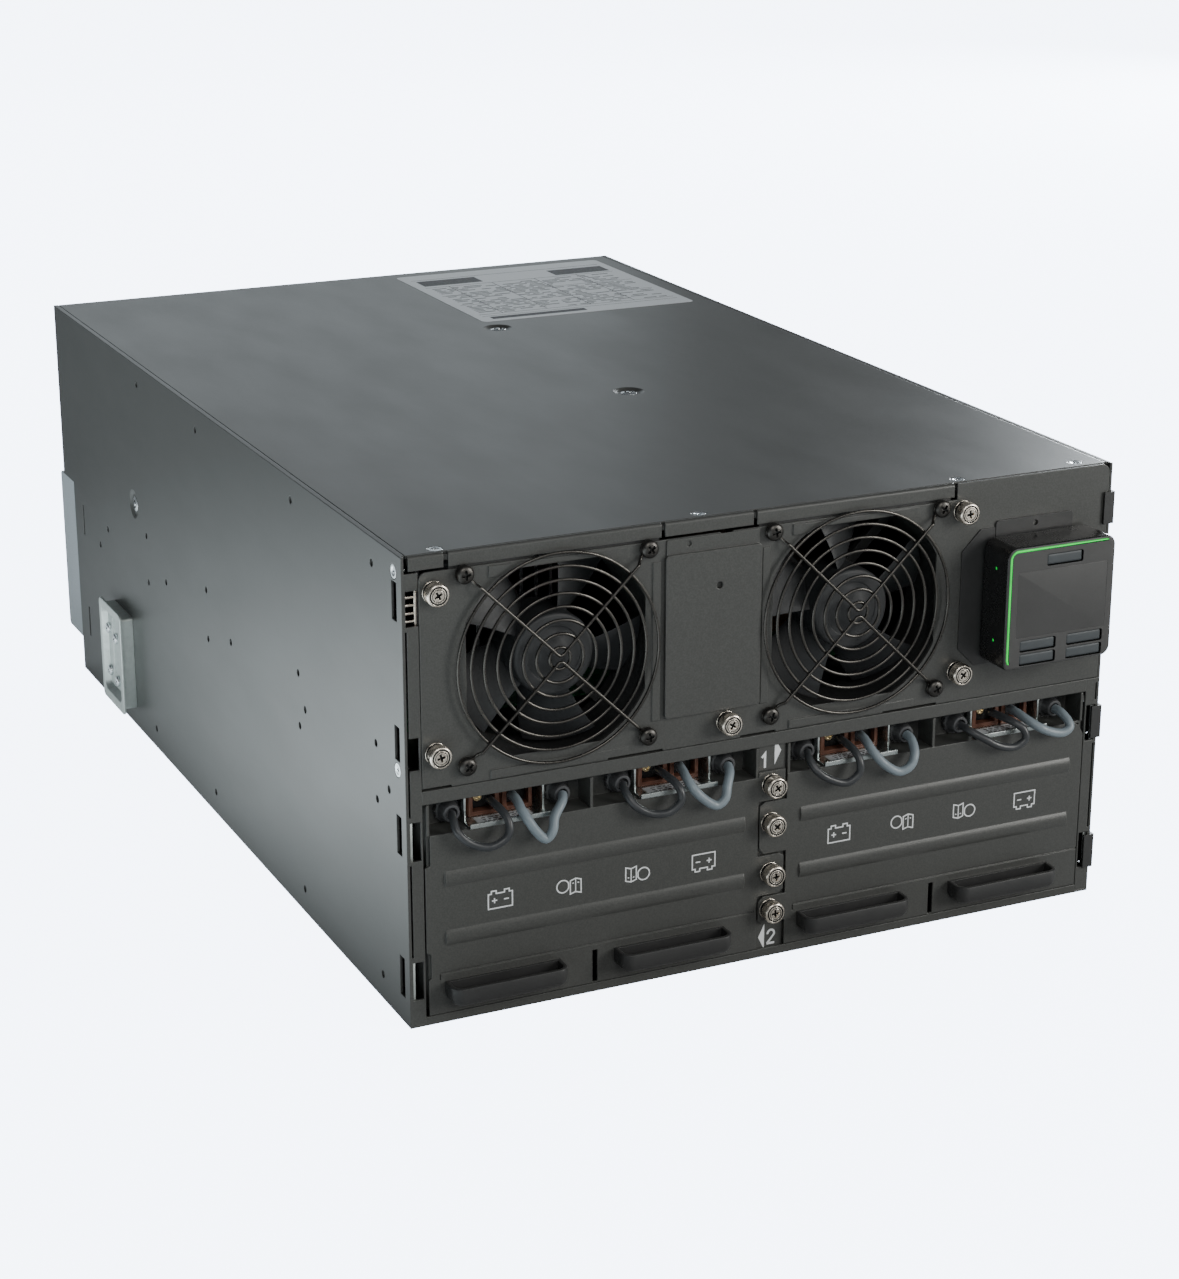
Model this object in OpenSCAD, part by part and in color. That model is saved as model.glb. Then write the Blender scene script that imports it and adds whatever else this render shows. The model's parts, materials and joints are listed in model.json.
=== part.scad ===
// Rack-mount power unit, six rack units high, shown without its front bezel.
// The upper half holds two cooling fans, a tilting display and the power stage.
// The lower half holds two battery modules that slide out to the front.
// Millimetres, +Z up, front towards -Y, origin at the centre of the underside.

/* [Chassis] */
// Width across the two side panels
chassis_w = 432; // [430:1:434]
// Height, six rack units less clearance
chassis_h = 263; // [262:1:265]
// Depth from the front plane to the rear panel
chassis_d = 670; // [660:5:700]
// Depth of the lower half, which ends in front of the upper half's rear panel
low_d = 644; // [640:1:660]
// Thickness of the folded steel sheet
sheet_t = 1.5; // [1.4:0.1:1.6]

/* [Fans] */
// Outside width of a square fan frame
fan_w = 120; // [119:0.5:120]
// Spacing of a fan's fixing screws, both ways
fan_hole_pitch = 105; // [104:0.5:105]
// Distance of the left fan's axis from the centre
fan_left_x = -129.5; // [-131:0.5:-128]
// Distance of the right fan's axis from the centre
fan_right_x = 50; // [49:0.5:51]
// Height of both fan axes
fan_z = 198; // [197.5:0.5:198]
// Depth of a fan frame
fan_d = 38; // [25:1:38]
// Number of blades on a rotor
fan_blades = 5; // [5:1:7]

/* [Display] */
// Width and height of the tilting display head
display_w = 71; // [71:0.5:72]
// How far the display head stands out of the front plane
display_d = 27; // [27:0.5:30]
// Left edge of the display head
display_x = 131; // [130:0.5:132]
// Lower edge of the display head
display_z = 159; // [158:0.5:160]

/* [Battery modules] */
// Distance of a module's middle from the centre
module_x = 107; // [106.5:0.5:107.5]
// Top edge of a module's front plate
plate_top = 109; // [108:0.5:109]
// Distance between the two connectors of a module
connector_pitch = 100; // [99:0.5:100]
// Length of the battery tray
tray_d = 610; // [600:5:620]
// Cells across a module
cells_across = 3; // [3:1:3]
// Cells along a module
cells_along = 4; // [3:1:4]

/* [Leads] */
// Diameter of the dark lead
dark_d = 4.5; // [4:0.5:5]
// Diameter of the grey lead
grey_d = 5.3; // [5:0.1:5.5]

/* [Hidden] */
$fn = 48;

half_w = chassis_w / 2;
inner_x = half_w - sheet_t;
column_x = half_w - 9;          // inner edge of the side columns
bar_z0 = 127;                   // underside of the bar over the battery bays
bar_z1 = 134.5;                 // top of that bar, level with the shelf
post_x0 = -7;                   // left edge of the centre post
post_x1 = 10;                   // right edge of the centre post
post_y = 2;                     // front of the centre post, behind the plates' tabs
lip_z = 255.2;                  // lower edge of the folded lip along the top
cover_z = chassis_h - sheet_t;  // underside of the top cover
step_z = 140;                   // height of the step in the rear
big_x0 = 113.4;                 // from here the fan panel is as tall as the chassis

// Fastener positions, [x, z] on the front plane
fan_panel_screw_at = [[-199, 243], [-199, 155], [-29, 146], [117, 247], [117, 153]];
left_module_screw_z = [104.5, 51.5];
right_module_screw_z = [81.6, 29.3];
screw_hole_r = 2.4;
shank_r = 2;

// Slots in the side panels' front edge that the bezel hooks into, [low z, high z]
bezel_slot_z = [[227, 248], [150, 169], [97, 119], [15, 38]];
bezel_slot_y = [7, 14];
// Windows in the front columns, [low z, high z]
column_window_z = [[225.5, 244.8], [147, 165], [96, 118], [16, 38]];

// Threaded holes for the rack ears and for the slide rails, [y, z]
ear_hole_at = [[42, 117], [42, 149]];
rail_hole_at = [[165, 117], [165, 149], [335, 117], [335, 149], [463, 117], [463, 149]];
side_hole_r = 2.1;
// Rivet dimples in the sides, [y, z]
side_dimple_at = [
    [42, 249], [168, 250], [343, 249], [468, 250], [40, 15], [166, 15], [333, 15], [462, 14],
    [24, 129], [155, 130], [289, 129], [422, 129], [558, 128], [580, 111]
];
// Countersunk screws in the sides, [y, z]
side_screw_at = [[11, 253], [11, 144.5]];
// The larger fixing in its round dish on each side, [y, z]
dish_at = [489, 164];

// Screws in the top cover: near the front edge, and in round dishes, [x, y]
top_front_screw_at = [[-194, 8], [-43, 8], [118, 8], [197, 10]];
top_dish_at = [[42, 269], [40, 470]];

// Rail brackets: how far their recess stands off the side, and their screws, [y, z]
bracket_floor = 5;
bracket_screw_at = [[546, 61], [532, 57], [546, 30], [532, 26]];

glass_t = 1.2;
button_w = 23;
button_h = 6;
// Button centres, from the display head's left and top edges
button_at = [[37.5, 9.3], [22, 58], [22, 66], [53, 58], [53, 66]];
hinge_y = -3.5;
hinge_z = 224;

cell_w = 63.5;
cell_l = 151;
cell_h = 94;
cell_gap = 0.5;
tray_floor_z = 5.8;
tray_y = 20;
tray_wall = 1.2;
tray_wall_z = 80;
tray_x = [-107, 108.1];          // middles of the left and right trays
recess_y = 16;                  // how far back the connector recess goes
handle_w = 68;
handle_d = 14;
handle_z = [12.5, 24];
gland_a_x = -31;                // glands, from the connector's middle
gland_b_x = 33;
gland_z = 117;
connector_w = 37;
connector_y = 13;

// Lead routes, one point each [x from the connector's middle, y from the front plane, z].
// A dark lead runs from the left gland to the connector, a grey one from it to the right gland.
left_dark_routes = [
    [[-31, 6, 117], [-32.5, 0, 115.5], [-32, -5, 110], [-25, -7, 103.5], [-15, -8, 100.5],
     [-6, -8, 104], [-3.5, -7, 110], [-4.5, -3, 115.5], [-6.5, 4, 118.5], [-7, 13, 119]],
    [[-31, 6, 117], [-32, 0, 114], [-28.5, -5, 107.5], [-20, -7, 102.5], [-10, -8, 102],
     [-3, -8, 107], [-2.5, -7, 112.5], [-4, -3, 116.5], [-6, 4, 118.5], [-7, 13, 119]]
];
left_grey_routes = [
    [[6.5, 13, 119], [6, 5, 118.5], [5.5, -2, 116], [7.5, -7, 111], [12, -8, 104],
     [17, -8, 99.5], [21, -8, 103.5], [23.5, -5, 110], [30, 0, 115.5], [33, 6, 117]],
    [[6.5, 13, 119], [5, 5, 118.5], [4, -2, 116.5], [6.5, -7, 111], [12.5, -8, 105],
     [19, -8, 101], [24.5, -7.5, 104], [27, -5, 110], [31, 0, 115.5], [33, 6, 117]]
];
right_dark_routes = [
    [[-31, 6, 117], [-33, 0, 115], [-30.5, -5, 109], [-23, -7, 103.5], [-13, -8, 100.5],
     [-5.5, -8, 105], [-4.5, -7, 111], [-5.5, -3, 116], [-6.8, 4, 118.5], [-7, 13, 119]],
    [[-31, 6, 117], [-29, -1, 115.5], [-22, -6, 111], [-13, -8, 106], [-3, -8, 104],
     [4, -8, 107.5], [3.5, -7, 113], [-1, -3.5, 117], [-5, 4, 118.8], [-7, 13, 119]]
];
right_grey_routes = [
    [[6.5, 13, 119], [5.5, 5, 118.5], [5, -2, 116], [8, -7, 110.5], [14, -8, 105],
     [21, -8, 101.5], [28, -8, 104], [31.5, -6, 110], [33, 0, 115.5], [33, 6, 117]],
    [[6.5, 13, 119], [7, 5, 118.5], [9, -2, 116.5], [14, -7, 113], [21, -8, 109.5],
     [29, -8, 107.5], [34.5, -7.5, 109.5], [35, -5, 113], [33.5, 0, 116.5], [33, 6, 117]]
];

// Colours
charcoal = [0.27, 0.28, 0.28];
black = [0.1, 0.1, 0.1];
zinc = [0.66, 0.7, 0.7];
nickel = [0.85, 0.8, 0.72];

// ---------- helpers ----------

// Places children so that y counts back from the front plane
module from_front() {
    translate([0, -chassis_d / 2, 0]) children();
}

// A box between two corners
module box(low, high) {
    translate(low) cube(high - low);
}

// A cylinder along Y between two depths
module y_rod(x, z, r, y0, y1) {
    translate([x, y0, z]) rotate([-90, 0, 0]) cylinder(h = y1 - y0, r = r);
}

// A cylinder along X between two positions
module x_rod(y, z, r, x0, x1) {
    translate([x0, y, z]) rotate([0, 90, 0]) cylinder(h = x1 - x0, r = r);
}

// A flat plate in the XZ plane from its outline, between two depths
module plate(y0, y1) {
    translate([0, y1, 0]) rotate([90, 0, 0]) linear_extrude(y1 - y0) children();
}

// A quarter round of points about (cx, cy), from one angle to another
function arc(cx, cy, r, a0, a1, steps = 6) =
    [for (i = [0:steps]) let (a = a0 + (a1 - a0) * i / steps) [cx + r * cos(a), cy + r * sin(a)]];

// A rectangle's outline with its own radius at each corner, from the lower left, anticlockwise
function rounded(x0, z0, x1, z1, r) = concat(
    arc(x0 + r[0], z0 + r[0], r[0], 180, 270),
    arc(x1 - r[1], z0 + r[1], r[1], 270, 360),
    arc(x1 - r[2], z1 - r[2], r[2], 0, 90),
    arc(x0 + r[3], z1 - r[3], r[3], 90, 180)
);

// The cross of a Phillips recess, cut along +Z from the origin
module phillips(size, depth) {
    wing = size / 4;
    translate([-size / 2, -wing / 2, 0]) cube([size, wing, depth]);
    translate([-wing / 2, -size / 2, 0]) cube([wing, size, depth]);
}

// A low pan-head screw standing on z = 0, its shank below
module pan_screw(r, h, shank, length) {
    difference() {
        union() {
            cylinder(h = h * 0.6, r = r);
            translate([0, 0, h * 0.6]) cylinder(h = h * 0.4, r1 = r, r2 = r * 0.72);
        }
        translate([0, 0, h * 0.35]) phillips(r * 1.1, h);
    }
    translate([0, 0, -length]) cylinder(h = length, r = shank);
}

// The holes for the screws along the front edge of the top cover
module cover_screw_holes() {
    for (at = top_front_screw_at)
        translate([at[0], at[1], cover_z - 2 * sheet_t]) cylinder(h = 3 * sheet_t + 1, r = 1.8);
}

// ---------- chassis ----------

module bottom_pan() {
    color(charcoal) from_front() {
        box([-inner_x, 0, 0], [inner_x, low_d - sheet_t, sheet_t]);
        box([-column_x, 0, sheet_t], [column_x, sheet_t, 5]);
        for (side = [-1, 1], offset = [-70, 70])
            box([side * module_x + offset - 6, 20, sheet_t],
                [side * module_x + offset + 6, low_d - 14, tray_floor_z - 0.4]);
    }
}

// One side panel, seen as the left one: side = -1 left, 1 right
module side_panel(side) {
    lean = side < 0 ? 0 : 1;
    scale_x = side < 0 ? 1 : -1;
    // the right column stops under the tall part of the fan panel
    column_top = lean == 0 ? 254 : bar_z1;
    color(charcoal) from_front() mirror([lean, 0, 0]) difference() {
        union() {
            box([-half_w, 0, 0], [-inner_x, chassis_d, chassis_h]);
            box([-inner_x, 0, sheet_t], [-column_x, sheet_t, column_top]);
            box([-inner_x, 14, cover_z - sheet_t], [-inner_x + 12, chassis_d - 12, cover_z]);
            box([-inner_x, 3, cover_z], [-inner_x + 1.5, chassis_d, chassis_h]);
            x_rod(dish_at[0], dish_at[1], 12, -inner_x, -inner_x + 1);
        }
        // the lower half ends earlier
        box([-half_w - 1, low_d, -1], [-inner_x + 1, chassis_d + 1, step_z]);
        for (z = bezel_slot_z)
            box([-half_w - 1, bezel_slot_y[0], z[0]], [-inner_x + 1, bezel_slot_y[1], z[1]]);
        for (i = [0:3])
            if (side < 0 || i > 1)
                box([-inner_x + 0.5, -1, column_window_z[i][0]],
                    [-column_x + (i == 0 ? 1 : -0.9), sheet_t + 1, column_window_z[i][1]]);
        // gap along the sheet's front edge
        for (run = [[41, 94], [121, lean == 0 ? 223 : bar_z1 - 3]])
            box([-inner_x, -1, run[0]], [-inner_x + 1.1, sheet_t + 1, run[1]]);
        for (at = ear_hole_at)
            x_rod(at[0], at[1], side_hole_r, -half_w - 1, -inner_x + 1);
        for (at = rail_hole_at)
            x_rod(at[0], at[1], side_hole_r, -half_w - 1, -inner_x + 1);
        for (at = side_dimple_at)
            x_rod(at[0], at[1], 2.2, -half_w - 1, -half_w + 1.1);
        for (at = side_screw_at)
            x_rod(at[0], at[1], 4, -half_w - 1, -half_w + 0.9);
        for (at = side_screw_at)
            x_rod(at[0], at[1], 1.8, -half_w - 1, -inner_x + 1);
        translate([-half_w + 1.3, dish_at[0], dish_at[1]]) rotate([0, -90, 0])
            cylinder(h = 1.4, r1 = 7, r2 = 10);
        x_rod(dish_at[0], dish_at[1], 2.5, -half_w - 1, -inner_x + 2);
        // two upright vents near the rear edge
        box([-half_w - 1, 620, 107], [-inner_x + 1, 623, 129]);
        box([-half_w - 1, 620, 31], [-inner_x + 1, 623, 53]);
    }
}

module left_side_panel() {
    side_panel(-1);
}

module right_side_panel() {
    side_panel(1);
}

module top_cover() {
    edge_x = inner_x - 2;
    color(charcoal) from_front() difference() {
        union() {
            box([-edge_x, 2.8, cover_z], [edge_x, chassis_d - 0.5, chassis_h]);
            for (at = top_dish_at)
                translate([at[0], at[1], cover_z - 1]) cylinder(h = 1, r = 12);
        }
        for (at = top_front_screw_at)
            translate([at[0], at[1], chassis_h - 0.9]) cylinder(h = 2, r = 4);
        cover_screw_holes();
        for (at = top_dish_at) {
            translate([at[0], at[1], chassis_h - 1.3]) cylinder(h = 1.4, r1 = 7, r2 = 10);
            translate([at[0], at[1], cover_z - 2]) cylinder(h = 5, r = 2.5);
        }
    }
}

module rear_panel() {
    vent_pitch = 9;
    color(charcoal) from_front() difference() {
        union() {
            box([-inner_x, low_d - sheet_t, sheet_t], [inner_x, low_d, step_z]);
            box([-inner_x, low_d - sheet_t, step_z - sheet_t], [inner_x, chassis_d, step_z]);
            box([-inner_x, chassis_d - sheet_t, step_z - sheet_t], [inner_x, chassis_d, cover_z - sheet_t]);
        }
        for (row = [0:1], i = [0:15])
            box([-60 + i * vent_pitch, low_d - 3, 20 + row * 50],
                [-56 + i * vent_pitch, low_d + 1, 60 + row * 50]);
        // behind the breaker, the terminal box and the accessory card
        box([68, chassis_d - 3, 156], [102, chassis_d + 1, 194]);
        box([-190, low_d - 3, 50], [-110, low_d + 1, 120]);
        box([-40, chassis_d - 3, 206], [60, chassis_d + 1, 238]);
    }
}

module front_frame() {
    fan_top = fan_z + fan_w / 2 + 0.3;
    color(charcoal) from_front() {
        // channel-shaped bar over the battery bays
        difference() {
            box([-column_x, 0, bar_z0], [column_x, 12, bar_z1]);
            box([-column_x - 1, sheet_t, bar_z0 + sheet_t], [column_x + 1, 13, bar_z1 - sheet_t]);
        }
        // centre post with the holes that the modules' screws enter
        difference() {
            box([post_x0, post_y, sheet_t], [post_x1, 40, bar_z0]);
            box([post_x0 + sheet_t, post_y + sheet_t, sheet_t - 1],
                [post_x1 - sheet_t, 41, bar_z0 - sheet_t]);
            for (z = concat(left_module_screw_z, right_module_screw_z))
                y_rod(0, z, screw_hole_r, post_y - 1, post_y + sheet_t + 1);
        }
        // folded lip along the top, in four lengths
        for (run = [[-212, -192.7], [-189.9, -68.9], [-66.7, -14], [-11.7, 111.5]])
            translate([run[0], 0, 0]) rotate([90, 0, 90]) linear_extrude(run[1] - run[0])
                polygon(concat([[1.3, lip_z], [1.3, fan_top], [2, fan_top], [2, chassis_h], [1.9, chassis_h]],
                    arc(1.9, chassis_h - 1.9, 1.9, 90, 180), [[0, lip_z]]));
        // rail that joins the lengths, under the cover
        box([-212, 2, fan_top], [111.5, 3.5, cover_z - sheet_t]);
        difference() {
            box([-212, 2, cover_z - sheet_t], [111.5, 13.5, cover_z]);
            cover_screw_holes();
        }
    }
}

module bay_shelf() {
    color(charcoal) from_front()
        box([-inner_x, 12, bar_z1 - sheet_t], [inner_x, low_d - sheet_t, bar_z1]);
}

module bay_divider() {
    color(charcoal) from_front() {
        box([0.75, 40, sheet_t], [0.75 + sheet_t, low_d - sheet_t, bar_z1 - sheet_t]);
        // foot flange on the pan
        box([0.75 + sheet_t, 44, sheet_t], [5.5, low_d - 8, 2 * sheet_t]);
    }
}

// ---------- fan section ----------

module fan_panel() {
    panel_z = 253.6;
    opening_r = 57.5;               // round openings, cut off by four flats
    opening_flat = 51.5;
    bottom_z = bar_z1 + 0.5;
    right_x = inner_x - 0.3;
    outline = concat(
        [[-column_x + 0.5, bottom_z], [right_x, bottom_z]],
        arc(right_x - 5, cover_z + 1.3 - 5, 5, 0, 90),
        [[big_x0, cover_z + 1.3], [big_x0, panel_z],
         [-26, panel_z], [-30, panel_z - 3.5], [-34, panel_z]],
        arc(-column_x + 4.5, panel_z - 4, 4, 90, 180)
    );
    color(charcoal) from_front() difference() {
        union() {
            plate(0, sheet_t) polygon(outline);
            // shallow strips above and below each fan that fade out to the right
            for (x = [-168, 10], z = [[246.5, 252.5], [135.6, 140.5]])
                translate([x, 0, z[0]]) linear_extrude(z[1] - z[0])
                    polygon([[0, 0.1], [0, -0.8], [3, -0.9], [80, -0.1], [80, 0.1]]);
            // and upright ones beside the cover plate
            for (x = [-74, -8.2])
                box([x, -0.7, 153], [x + 4.5, 0, 242]);
            // the edge folded back under the cover on the tall side
            box([big_x0, sheet_t, cover_z - sheet_t], [right_x - 6, 13, cover_z]);
        }
        cover_screw_holes();
        for (x = [fan_left_x, fan_right_x]) {
            intersection() {
                y_rod(x, fan_z, opening_r, -2, 3);
                box([x - opening_flat, -3, fan_z - opening_flat],
                    [x + opening_flat, 4, fan_z + opening_flat]);
            }
            for (dx = [-1, 1], dz = [-1, 1])
                y_rod(x + dx * fan_hole_pitch / 2, fan_z + dz * fan_hole_pitch / 2, 2.2, -2, 3);
        }
        for (at = fan_panel_screw_at)
            y_rod(at[0], at[1], screw_hole_r, -2, 3);
        // thin slots along the lower edge
        for (run = [[-206.5, -190], [-100, -67], [-20, 2], [70, 105]])
            box([run[0], -1, bottom_z - 1], [run[1], 3, bottom_z + 1]);
        // clear of the bracket and the display's lead
        y_rod(165, 190, 6, -2, 3);
    }
}

module fan_cover_plate() {
    color(charcoal) from_front() difference() {
        union() {
            plate(-2.2, -0.8) polygon(rounded(-67, 153.5, -9.5, 245, [2, 2, 2, 2]));
            plate(-0.8, 0) polygon(rounded(-66, 154.5, -10.5, 253.2, [1, 1, 1, 1]));
        }
        y_rod(-35, 225, 2, -3, 1);
        y_rod(-53, 250, 1.5, -3, 1);
    }
}

// The square frame of one fan, with its struts and bearing boss
module fan_frame(x) {
    duct_r = 57.5;
    corner = fan_w / 2;
    color(black) from_front() translate([x, sheet_t, fan_z]) difference() {
        union() {
            difference() {
                plate(0, fan_d) polygon(rounded(-corner, -corner, corner, corner, [4, 4, 4, 4]));
                y_rod(0, 0, duct_r, -1, fan_d + 1);
                for (dx = [-1, 1], dz = [-1, 1])
                    y_rod(dx * fan_hole_pitch / 2, dz * fan_hole_pitch / 2, 2.2, -1, fan_d + 1);
                // waist between the two flanges
                for (turn = [0:90:270])
                    rotate([0, turn, 0]) box([-42, 5, corner - 1.2], [42, fan_d - 5, corner + 1]);
            }
            y_rod(0, 0, 21, fan_d - 5, fan_d);
            for (turn = [45:90:315])
                rotate([0, turn, 0]) box([19, fan_d - 4.6, -3], [duct_r + 0.6, fan_d - 0.4, 3]);
            y_rod(0, 0, 5, fan_d - 14, fan_d - 4);
        }
        y_rod(0, 0, 2.05, fan_d - 15, fan_d - 1.5);
    }
}

module fan_left_frame() {
    fan_frame(fan_left_x);
}

module fan_right_frame() {
    fan_frame(fan_right_x);
}

// One rotor: a cup-shaped hub, pitched blades and the shaft that turns in the frame's boss
module fan_rotor(x) {
    hub_r = 23;
    hub_d = 29;
    tip_r = 55.5;
    pitch = 52;
    blade_y = 17;
    color(black) from_front() translate([x, sheet_t, fan_z]) {
        difference() {
            union() {
                y_rod(0, 0, hub_r, 3, 3 + hub_d);
                y_rod(0, 0, hub_r - 1.5, 1.8, 3);
                intersection() {
                    y_rod(0, 0, tip_r, 1, fan_d);
                    union() for (i = [0:fan_blades - 1])
                        rotate([0, i * 360 / fan_blades, 0]) translate([0, blade_y, 0])
                            rotate([pitch, 0, 0]) linear_extrude(2, center = true)
                                polygon([[21, -12], [60, -17], [60, 17], [21, 12]]);
                }
            }
            y_rod(0, 0, hub_r - 2, 6, 5 + hub_d);
        }
        y_rod(0, 0, 2, 5, fan_d - 2.5);
    }
}

module fan_left_rotor() {
    fan_rotor(fan_left_x);
}

module fan_right_rotor() {
    fan_rotor(fan_right_x);
}

// One wire guard: eight rings, spokes bent at the centre and four eyes at the screws
module fan_guard(x) {
    wire = 1.8;
    ring_y = -4.5;
    spoke_y = -6;
    eye = fan_hole_pitch / 2;
    bend = [1.8, 4.8];
    along = [eye, eye] - bend;
    reach = norm(along);
    // a spoke from the bend to past the outer ring, then in a jog back to the eye, seen edge on
    spoke = [[0, spoke_y], [reach - 13, spoke_y], [reach - 9, -2], [reach - 4, -2], [reach - 4, -0.2],
             [reach - 10, -0.2], [reach - 14, spoke_y + wire], [0, spoke_y + wire]];
    color(black) from_front() translate([x, 0, fan_z]) {
        for (r = [6, 13.5, 21, 28.3, 35.6, 43, 50.4, 57.8])
            difference() {
                y_rod(0, 0, r + wire / 2, ring_y, ring_y + wire);
                y_rod(0, 0, r - wire / 2, ring_y - 1, ring_y + wire + 1);
            }
        for (side = [0, 1], up = [0, 1]) mirror([side, 0, 0]) mirror([0, 0, up]) {
            translate([bend[0], 0, bend[1]]) rotate([0, -atan2(along[1], along[0]), 0])
                translate([0, 0, -wire / 2]) linear_extrude(wire) polygon(spoke);
            difference() {
                y_rod(eye, eye, 5.2, -2, -0.2);
                y_rod(eye, eye, 2.2, -3, 1);
            }
        }
        // the bend between two spokes, a little thinner than they are
        for (up = [-1, 1])
            box([-2.2, spoke_y + 0.2, up * bend[1] - 0.8], [2.2, spoke_y + wire - 0.15, up * bend[1] + 0.8]);
    }
}

module fan_guards() {
    fan_guard(fan_left_x);
    fan_guard(fan_right_x);
}

module guard_screws() {
    color(black) from_front()
        for (x = [fan_left_x, fan_right_x], dx = [-1, 1], dz = [-1, 1])
            translate([x + dx * fan_hole_pitch / 2, -2, fan_z + dz * fan_hole_pitch / 2])
                rotate([90, 0, 0]) pan_screw(5, 3, 1.9, 10);
}

// Spring contacts and plated strips seen through the windows of the side columns
module contact_strips() {
    tooth_h = 3.2;
    color(nickel) from_front() {
        difference() {
            box([-inner_x + 0.2, sheet_t, 224], [-column_x, 3, 246]);
            for (i = [0:3])
                box([-inner_x + 1.6, 1, 226.5 + i * 4.8], [-column_x - 0.8, 4, 226.5 + i * 4.8 + tooth_h]);
        }
        for (side = [-1, 1], z = [[95, 119], [15, 39]])
            box([side * 213.2 - 1.1, sheet_t, z[0]], [side * 213.2 + 1.1, 2.5, z[1]]);
    }
}

// ---------- display ----------

module display_bracket() {
    color(black) from_front() difference() {
        plate(-1, 0) polygon(rounded(139, 229, 190, 238.5, [0.5, 0.5, 2, 2]));
        y_rod(165, 234.5, 1.6, -2, 1);
    }
}

// The fixed half of the display: a thin plate with cut corners that shows at the left, and the
// ears that the hinge pins turn in
module display_base() {
    x0 = display_x + 4;
    x1 = display_x + display_w - 4;
    low = display_z - 4;
    high = display_z + 75.8;
    color(black) from_front() difference() {
        union() {
            translate([x0, 0, 0]) rotate([90, 0, 90]) linear_extrude(x1 - x0)
                polygon(concat([[0, display_z + 5], [0, hinge_z + 2.5]],
                    arc(-9, hinge_z - 0.5, 3, 90, 180), [[-12, display_z + 9], [-8, display_z + 5]]));
            plate(-0.8, 0) polygon([
                [display_x - 13.4, low + 11], [display_x - 2.4, low], [x1, low], [x1, high - 6],
                [display_x + 7.7, high - 6], [display_x + 7.7, high], [display_x - 1.6, high],
                [display_x - 13.4, high - 11.8]]);
        }
        x_rod(hinge_y, hinge_z, 1.25, x0 - 1, x0 + 4.2);
        x_rod(hinge_y, hinge_z, 1.25, x1 - 4.2, x1 + 1);
        // hollow for the ribbon lead
        box([x0 + 8, -13, display_z + 20], [x1 - 8, -3, hinge_z - 12]);
    }
}

// The light's line along the left and top edges of the display's face, as an [x, z] outline
// between two distances from those edges, with both ends drawn back
function light_outline(near, far, back) =
    let (centre = 6.6, z0 = display_z + 3 + back, z1 = display_z + display_w,
         x1 = display_x + display_w - 3.5 - back)
    concat([[display_x + far, z0], [display_x + near, z0]],
        arc(display_x + centre, z1 - centre, centre - near, 180, 90),
        [[x1, z1 - near], [x1, z1 - far]],
        arc(display_x + centre, z1 - centre, centre - far, 90, 180));

// The moving half: a shell with a rounded face, pins, button slots and the light's groove
module display_shell() {
    wall = 1.5;
    back = -3;
    face = -display_d;
    x1 = display_x + display_w;
    z1 = display_z + display_w;
    color(black) from_front() {
        difference() {
            union() {
                plate(face + 1, back) polygon(rounded(display_x, display_z, x1, z1, [3, 6, 6, 6]));
                plate(face, face + 1) polygon(rounded(
                    display_x + 0.7, display_z + 0.7, x1 - 0.7, z1 - 0.7, [2.5, 5.3, 5.3, 5.3]));
            }
            box([display_x + wall, face + 3, display_z + wall], [x1 - wall, back + 1, z1 - wall]);
            for (at = button_at)
                box([display_x + at[0] - button_w / 2 - 0.3, face - 1, z1 - at[1] - button_h / 2 - 0.3],
                    [display_x + at[0] + button_w / 2 + 0.3, face + 4, z1 - at[1] + button_h / 2 + 0.3]);
            plate(face - 1, face + 1.6) polygon(light_outline(1.3, 2.9, 0));
            // rebate for the window between the buttons
            box([display_x + 7, face - 1, display_z + 18], [x1 - 5, face + glass_t, z1 - 14.5]);
            // sight holes for the light in the left wall
            x_rod(-15, display_z + 15, 1, display_x - 1, display_x + wall + 1);
            x_rod(-15, display_z + 57, 1, display_x - 1, display_x + wall + 1);
        }
        x_rod(hinge_y, hinge_z, 1.2, display_x + wall, display_x + 7.5);
        x_rod(hinge_y, hinge_z, 1.2, x1 - 7.5, x1 - wall);
    }
}

module display_window() {
    color([0.16, 0.16, 0.16]) from_front()
        box([display_x + 7.1, -display_d, display_z + 18.1],
            [display_x + display_w - 5.1, -display_d + glass_t, display_z + display_w - 14.6]);
}

module light_pipe() {
    color([0, 0.8, 0.3]) from_front() {
        plate(-display_d - 0.1, -display_d + 1.5) polygon(light_outline(1.45, 2.75, 0.15));
        for (z = [display_z + 15, display_z + 57])
            x_rod(-15, z, 0.95, display_x + 0.2, display_x + 1.5);
    }
}

// A rubber key with a flange inside the shell that stops it falling out
module display_button(index) {
    cx = display_x + button_at[index][0];
    cz = display_z + display_w - button_at[index][1];
    flange_y = -display_d + 3.3;
    color([0.24, 0.28, 0.32]) from_front() {
        plate(-display_d + 0.7, flange_y) polygon(rounded(cx - button_w / 2, cz - button_h / 2,
            cx + button_w / 2, cz + button_h / 2, [1, 1, 1, 1]));
        box([cx - button_w / 2 - 1.2, flange_y, cz - button_h / 2],
            [cx + button_w / 2 + 1.2, flange_y + 1.2, cz + button_h / 2]);
    }
}

module menu_button() {
    display_button(0);
}

module upper_left_button() {
    display_button(1);
}

module lower_left_button() {
    display_button(2);
}

module upper_right_button() {
    display_button(3);
}

module lower_right_button() {
    display_button(4);
}

// ---------- outside fittings ----------

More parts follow.
